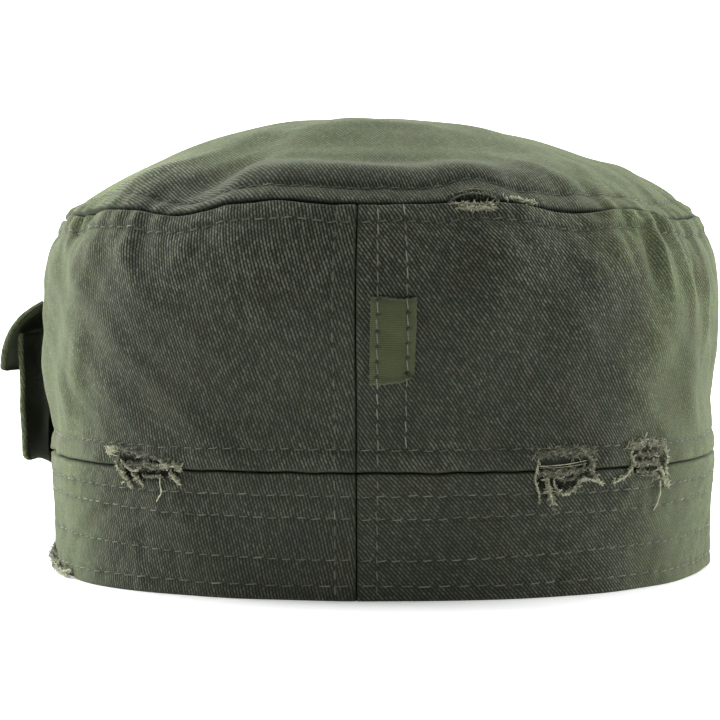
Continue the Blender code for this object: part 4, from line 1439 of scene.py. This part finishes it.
# Left of the back seam: a lumpy hole across the band seam with one hanging thread. Each row has the
# bundle's thickness in mm, its tufts, its fibres, how pale it is, and points of (angle, height, out) in mm.
LEFT_HOLE = (
    (1.4, 40, 90, 0.85, (40.6, 33.4, 0.3), (39.8, 33.9, 0.6), (38.9, 33.5, 0.4)),
    (1.3, 150, 240, 0.10, (38.6, 34.2, 0.1), (36.5, 33.8, 0.3), (33.5, 33.2, 0.3), (30.5, 32.6, 0.3),
     (28.4, 31.8, 0.1)),
    (0.8, 34, 60, 0.45, (38.5, 32.6, 0.2), (38.7, 30.8, 0.4), (38.3, 28.6, 0.3), (37.8, 27.6, 0.3)),
    (0.9, 34, 60, 0.50, (37.8, 31.2, 0.2), (36.6, 30.0, 0.6), (35.2, 29.0, 0.6), (34.0, 29.6, 0.5)),
    (1.1, 44, 70, 0.55, (37.8, 29.0, 0.2), (36.9, 27.4, 0.5), (36.3, 26.2, 0.5), (35.9, 25.3, 0.3)),
    (1.0, 30, 60, 0.42, (35.4, 28.2, 0.2), (34.4, 27.0, 0.5), (33.7, 26.3, 0.4)),
    (0.8, 30, 60, 0.20, (33.6, 31.4, 0.2), (31.8, 30.9, 0.7), (30.4, 30.6, 0.6)),
    (1.1, 36, 80, 0.62, (30.0, 31.2, 0.3), (29.2, 30.4, 0.8), (28.4, 30.8, 0.8)),
    (1.1, 36, 80, 0.55, (28.0, 31.6, 0.3), (27.3, 30.8, 0.8), (26.7, 29.9, 0.5)),
    (0.8, 30, 60, 0.20, (33.4, 27.6, 0.1), (31.6, 27.9, 0.3), (29.8, 27.8, 0.2)),
    (1.2, 80, 160, 0.08, (37.0, 30.8, -0.3), (34.5, 30.4, 0.0), (31.5, 29.9, 0.0), (29.6, 30.0, -0.2)),
    (1.1, 36, 70, 0.70, (28.6, 28.8, 0.2), (27.8, 27.8, 0.5), (27.0, 26.8, 0.5)),
    (0.34, 0, 14, 0.95, (30.4, 28.6, 0.2), (30.3, 26.2, 0.7), (30.2, 24.2, 0.6), (30.7, 23.2, 0.5),
     (31.3, 22.0, 0.4)),
)
# Right of it: a squared hole with threads left across it and tongues hanging from its lower edge.
RIGHT_HOLE = (
    (1.7, 210, 360, 0.12, (-26.2, 33.8, 0.1), (-29.0, 34.2, 0.3), (-32.0, 34.1, 0.3), (-35.4, 34.0, 0.1)),
    (0.6, 60, 60, 0.62, (-26.9, 33.0, 0.2), (-26.5, 30.5, 0.6), (-26.3, 27.6, 0.6), (-26.9, 24.8, 0.5),
     (-27.3, 22.2, 0.3)),
    (1.15, 60, 90, 0.50, (-28.0, 28.0, 0.1), (-28.4, 25.8, 0.6), (-28.8, 23.8, 0.6), (-29.3, 21.8, 0.3)),
    (0.9, 56, 90, 0.50, (-29.4, 26.8, 0.1), (-29.9, 25.0, 0.5), (-31.0, 24.2, 0.5), (-32.4, 25.2, 0.5),
     (-33.4, 26.6, 0.3)),
    (0.75, 44, 60, 0.75, (-33.2, 27.2, 0.3), (-34.6, 27.6, 0.6), (-36.4, 27.0, 0.5), (-37.7, 26.3, 0.2)),
    (1.0, 50, 90, 0.30, (-35.0, 33.4, 0.1), (-35.6, 31.6, 0.5), (-35.4, 29.6, 0.5), (-36.2, 28.0, 0.4)),
    (0.24, 0, 4, 0.90, (-27.0, 30.9, -0.2), (-29.5, 31.0, 0.1), (-32.0, 31.3, 0.1), (-34.8, 31.9, -0.1)),
    (0.20, 0, 4, 0.60, (-27.2, 30.5, -0.3), (-29.8, 30.5, 0.0), (-32.4, 30.8, 0.0), (-34.9, 31.2, -0.1)),
    (1.5, 120, 260, 0.20, (-27.2, 29.2, -0.5), (-29.8, 29.1, -0.2), (-32.2, 29.5, -0.2),
     (-34.7, 29.9, -0.4)),
    (0.8, 30, 60, 0.16, (-30.2, 27.8, -0.6), (-31.8, 27.6, -0.2), (-33.4, 28.3, -0.4)),
)
# Further right: a smaller hole, its middle still filled with fuzzed cloth, and a long thread.
FAR_HOLE = (
    (1.6, 140, 320, 0.36, (-42.4, 34.4, 0.2), (-44.6, 35.4, 0.5), (-47.5, 35.5, 0.5), (-50.4, 34.6, 0.2)),
    (0.9, 70, 110, 0.60, (-42.7, 33.6, 0.2), (-43.3, 31.6, 0.6), (-42.9, 29.4, 0.6),
     (-41.8, 27.6, 0.5), (-39.8, 26.6, 0.3)),
    (1.3, 90, 130, 0.20, (-44.2, 32.9, -0.2), (-46.4, 32.6, 0.1), (-48.4, 32.8, 0.1), (-50.2, 32.9, -0.1)),
    (1.3, 80, 150, 0.30, (-44.2, 30.6, 0.0), (-45.8, 30.4, 0.5), (-47.6, 30.8, 0.5), (-49.4, 30.2, 0.2)),
    (1.3, 70, 120, 0.28, (-44.6, 28.6, 0.0), (-46.2, 28.2, 0.4), (-48.0, 27.6, 0.4), (-49.6, 26.6, 0.3)),
    (0.9, 70, 110, 0.62, (-50.6, 34.2, 0.1), (-51.3, 31.8, 0.6), (-50.9, 29.4, 0.7),
     (-51.4, 26.8, 0.6), (-52.4, 24.2, 0.3)),
    (0.8, 40, 60, 0.75, (-49.4, 29.4, 0.3), (-50.4, 27.6, 0.7), (-51.0, 25.6, 0.6), (-51.6, 24.4, 0.4)),
    (0.42, 0, 16, 0.95, (-50.0, 26.6, 0.3), (-49.8, 23.6, 0.9), (-49.4, 20.8, 0.8), (-48.9, 18.6, 0.3)),
)
# On the top seam: a slit with a fuzzed lower lip.
SLIT = (
    (0.9, 130, 40, 0.30, (-14.6, -0.9, 0.2), (-16.4, -1.3, 0.4), (-18.6, -1.5, 0.4),
     (-20.6, -1.3, 0.4), (-22.0, -0.9, 0.2)),
    (0.9, 130, 40, 0.55, (-15.2, -1.8, 0.2), (-17.0, -2.3, 0.5), (-18.8, -2.4, 0.6),
     (-20.4, -2.2, 0.5), (-21.6, -1.8, 0.2)),
    (0.5, 40, 60, 0.12, (-14.8, 0.3, 0.1), (-16.6, 1.0, 0.4), (-18.6, 1.2, 0.5), (-20.6, 1.0, 0.4),
     (-22.0, 0.4, 0.1)),
    (0.30, 0, 12, 0.30, (-15.8, 1.7, 0.3), (-17.6, 2.3, 0.6), (-19.6, 2.4, 0.6), (-21.8, 1.6, 0.3)),
    (0.26, 0, 10, 0.22, (-16.6, 2.5, 0.3), (-18.4, 3.1, 0.6), (-20.2, 2.9, 0.5), (-22.2, 2.0, 0.3)),
)
# Beside it the cloth is rubbed to fluff, with no yarn loose.
WORN_PATCH = (
    (0.9, 100, 50, 0.80, (-23.4, 0.9, 0.0), (-25.2, 1.2, 0.1), (-27.0, 1.1, 0.1), (-28.6, 0.9, 0.0)),
)
# At the hem, on the left silhouette: a chewed edge.
CHEWED_HEM = (
    (1.3, 90, 150, 0.50, (73.5, 5.2, 0.2), (70.5, 3.6, 0.7), (67.5, 2.6, 0.8), (64.5, 2.2, 0.6),
     (62.0, 2.6, 0.4)),
    (1.2, 90, 150, 0.55, (66.5, 1.8, 0.4), (63.0, 1.4, 0.7), (60.0, 1.2, 0.7), (57.0, 1.6, 0.5),
     (54.5, 2.4, 0.2)),
    (0.9, 40, 60, 0.80, (59.0, 0.9, 0.4), (57.2, 0.6, 0.8), (55.4, 0.7, 0.6)),
)
# A loose end of sewing thread curls over the flap's rear corner.
LOOSE_END = (
    (0.12, 0, 0, 0.05, (84.0, 66.0, 8.2), (84.5, 68.0, 7.2), (85.5, 69.2, 5.2), (86.0, 68.8, 2.8)),
)
for surface, core, bundles in (
    (near_wall, True, LEFT_HOLE + RIGHT_HOLE + FAR_HOLE), (over_top_seam, True, SLIT),
    (over_top_seam, False, WORN_PATCH), (near_wall, True, CHEWED_HEM + LOOSE_END),
):
    for thick, tufts, fibres, pale, *points in bundles:
        fringe(surface, core, thick, tufts, fibres, pale, points)
for kind, yarn_sides in (("strands", 6), ("tufts", 4), ("fibres", 3)):
    paths, radii, wear_and_painted_light, shade = (np.array(part) for part in zip(*loose[kind]))
    masks = {"wear_and_painted_light": wear_and_painted_light, "shade": shade}
    threads(f"frayed_{kind}", paths, radii, masks, "band_twill", fray_yarn, yarn_sides)

# Table, backdrop and light
# A white sweep under and behind the cap; two large soft lights beside and a little beyond it, so
# that its sides shine and its back stays dim, and a weaker one overhead.
SWEEP_HALF_WIDTH = 2.6
SWEEP_NEAR_EDGE = 0.42
SWEEP_FOOT = -0.9
SWEEP_BEND = 0.5
SWEEP_TOP = 2.2
sweep_turns = np.linspace(0.15, pi / 2, 12)
sweep_profile = [(SWEEP_NEAR_EDGE, 0.0), (SWEEP_FOOT, 0.0)]
sweep_profile += [(SWEEP_FOOT - SWEEP_BEND * sin(t), SWEEP_BEND - SWEEP_BEND * cos(t)) for t in sweep_turns]
sweep_profile += [(SWEEP_FOOT - SWEEP_BEND, SWEEP_TOP)]
verts = [(x, y, z) for y, z in sweep_profile for x in (-SWEEP_HALF_WIDTH, SWEEP_HALF_WIDTH)]
faces = [(2 * i, 2 * i + 1, 2 * i + 3, 2 * i + 2) for i in range(len(sweep_profile) - 1)]
sweep_mesh = bpy.data.meshes.new("white_sweep")
sweep_mesh.from_pydata(verts, [], faces)
sweep_mesh.shade_smooth()
glow = {"Emission Color": (1, 1, 1, 1), "Emission Strength": 0.25}
paper = {"Base Color": (0.93, 0.93, 0.93, 1), "Roughness": 0.9, "Specular IOR Level": 0.1, **glow}
sweep_mesh.materials.append(new_material("white_paper", paper)[0])
sweep = bpy.data.objects.new("white_sweep", sweep_mesh)
bpy.context.scene.collection.objects.link(sweep)

WORLD_LIGHT = 0.095
world = bpy.data.worlds.new("soft_white")
world.use_nodes = True
world.node_tree.nodes["Background"].inputs["Color"].default_value = (1, 1, 1, 1)
world.node_tree.nodes["Background"].inputs["Strength"].default_value = WORLD_LIGHT
bpy.context.scene.world = world

BACKDROP_AIM = Vector((0, -1.4, 0.3))
CAP_MIDDLE = CROWN_CENTRE + Vector((0, 0, 0.055))
# Place from the middle of the cap, width, height in metres and power in watts.
for name, place, width, height, power in (
    ("left_softbox", (0.85, -0.44, 0.35), 0.8, 1.0, 25.0),
    ("right_softbox", (-0.85, -0.44, 0.35), 0.8, 1.0, 14.8),
    ("top_softbox", (0.0, 0.08, 1.15), 1.2, 0.8, 6.5),
    ("backdrop_light", (0.0, -0.75, 1.3), 1.6, 0.5, 30.0),
):
    lamp = bpy.data.lights.new(name, "AREA")
    lamp.shape = "RECTANGLE"
    lamp.size, lamp.size_y, lamp.energy = width, height, power
    light = bpy.data.objects.new(name, lamp)
    light.location = CROWN_CENTRE + Vector(place)
    aim = CAP_MIDDLE if name != "backdrop_light" else BACKDROP_AIM
    light.rotation_euler = (aim - light.location).to_track_quat("-Z", "Y").to_euler()
    bpy.context.scene.collection.objects.link(light)

bpy.context.scene.view_settings.view_transform = "Standard"
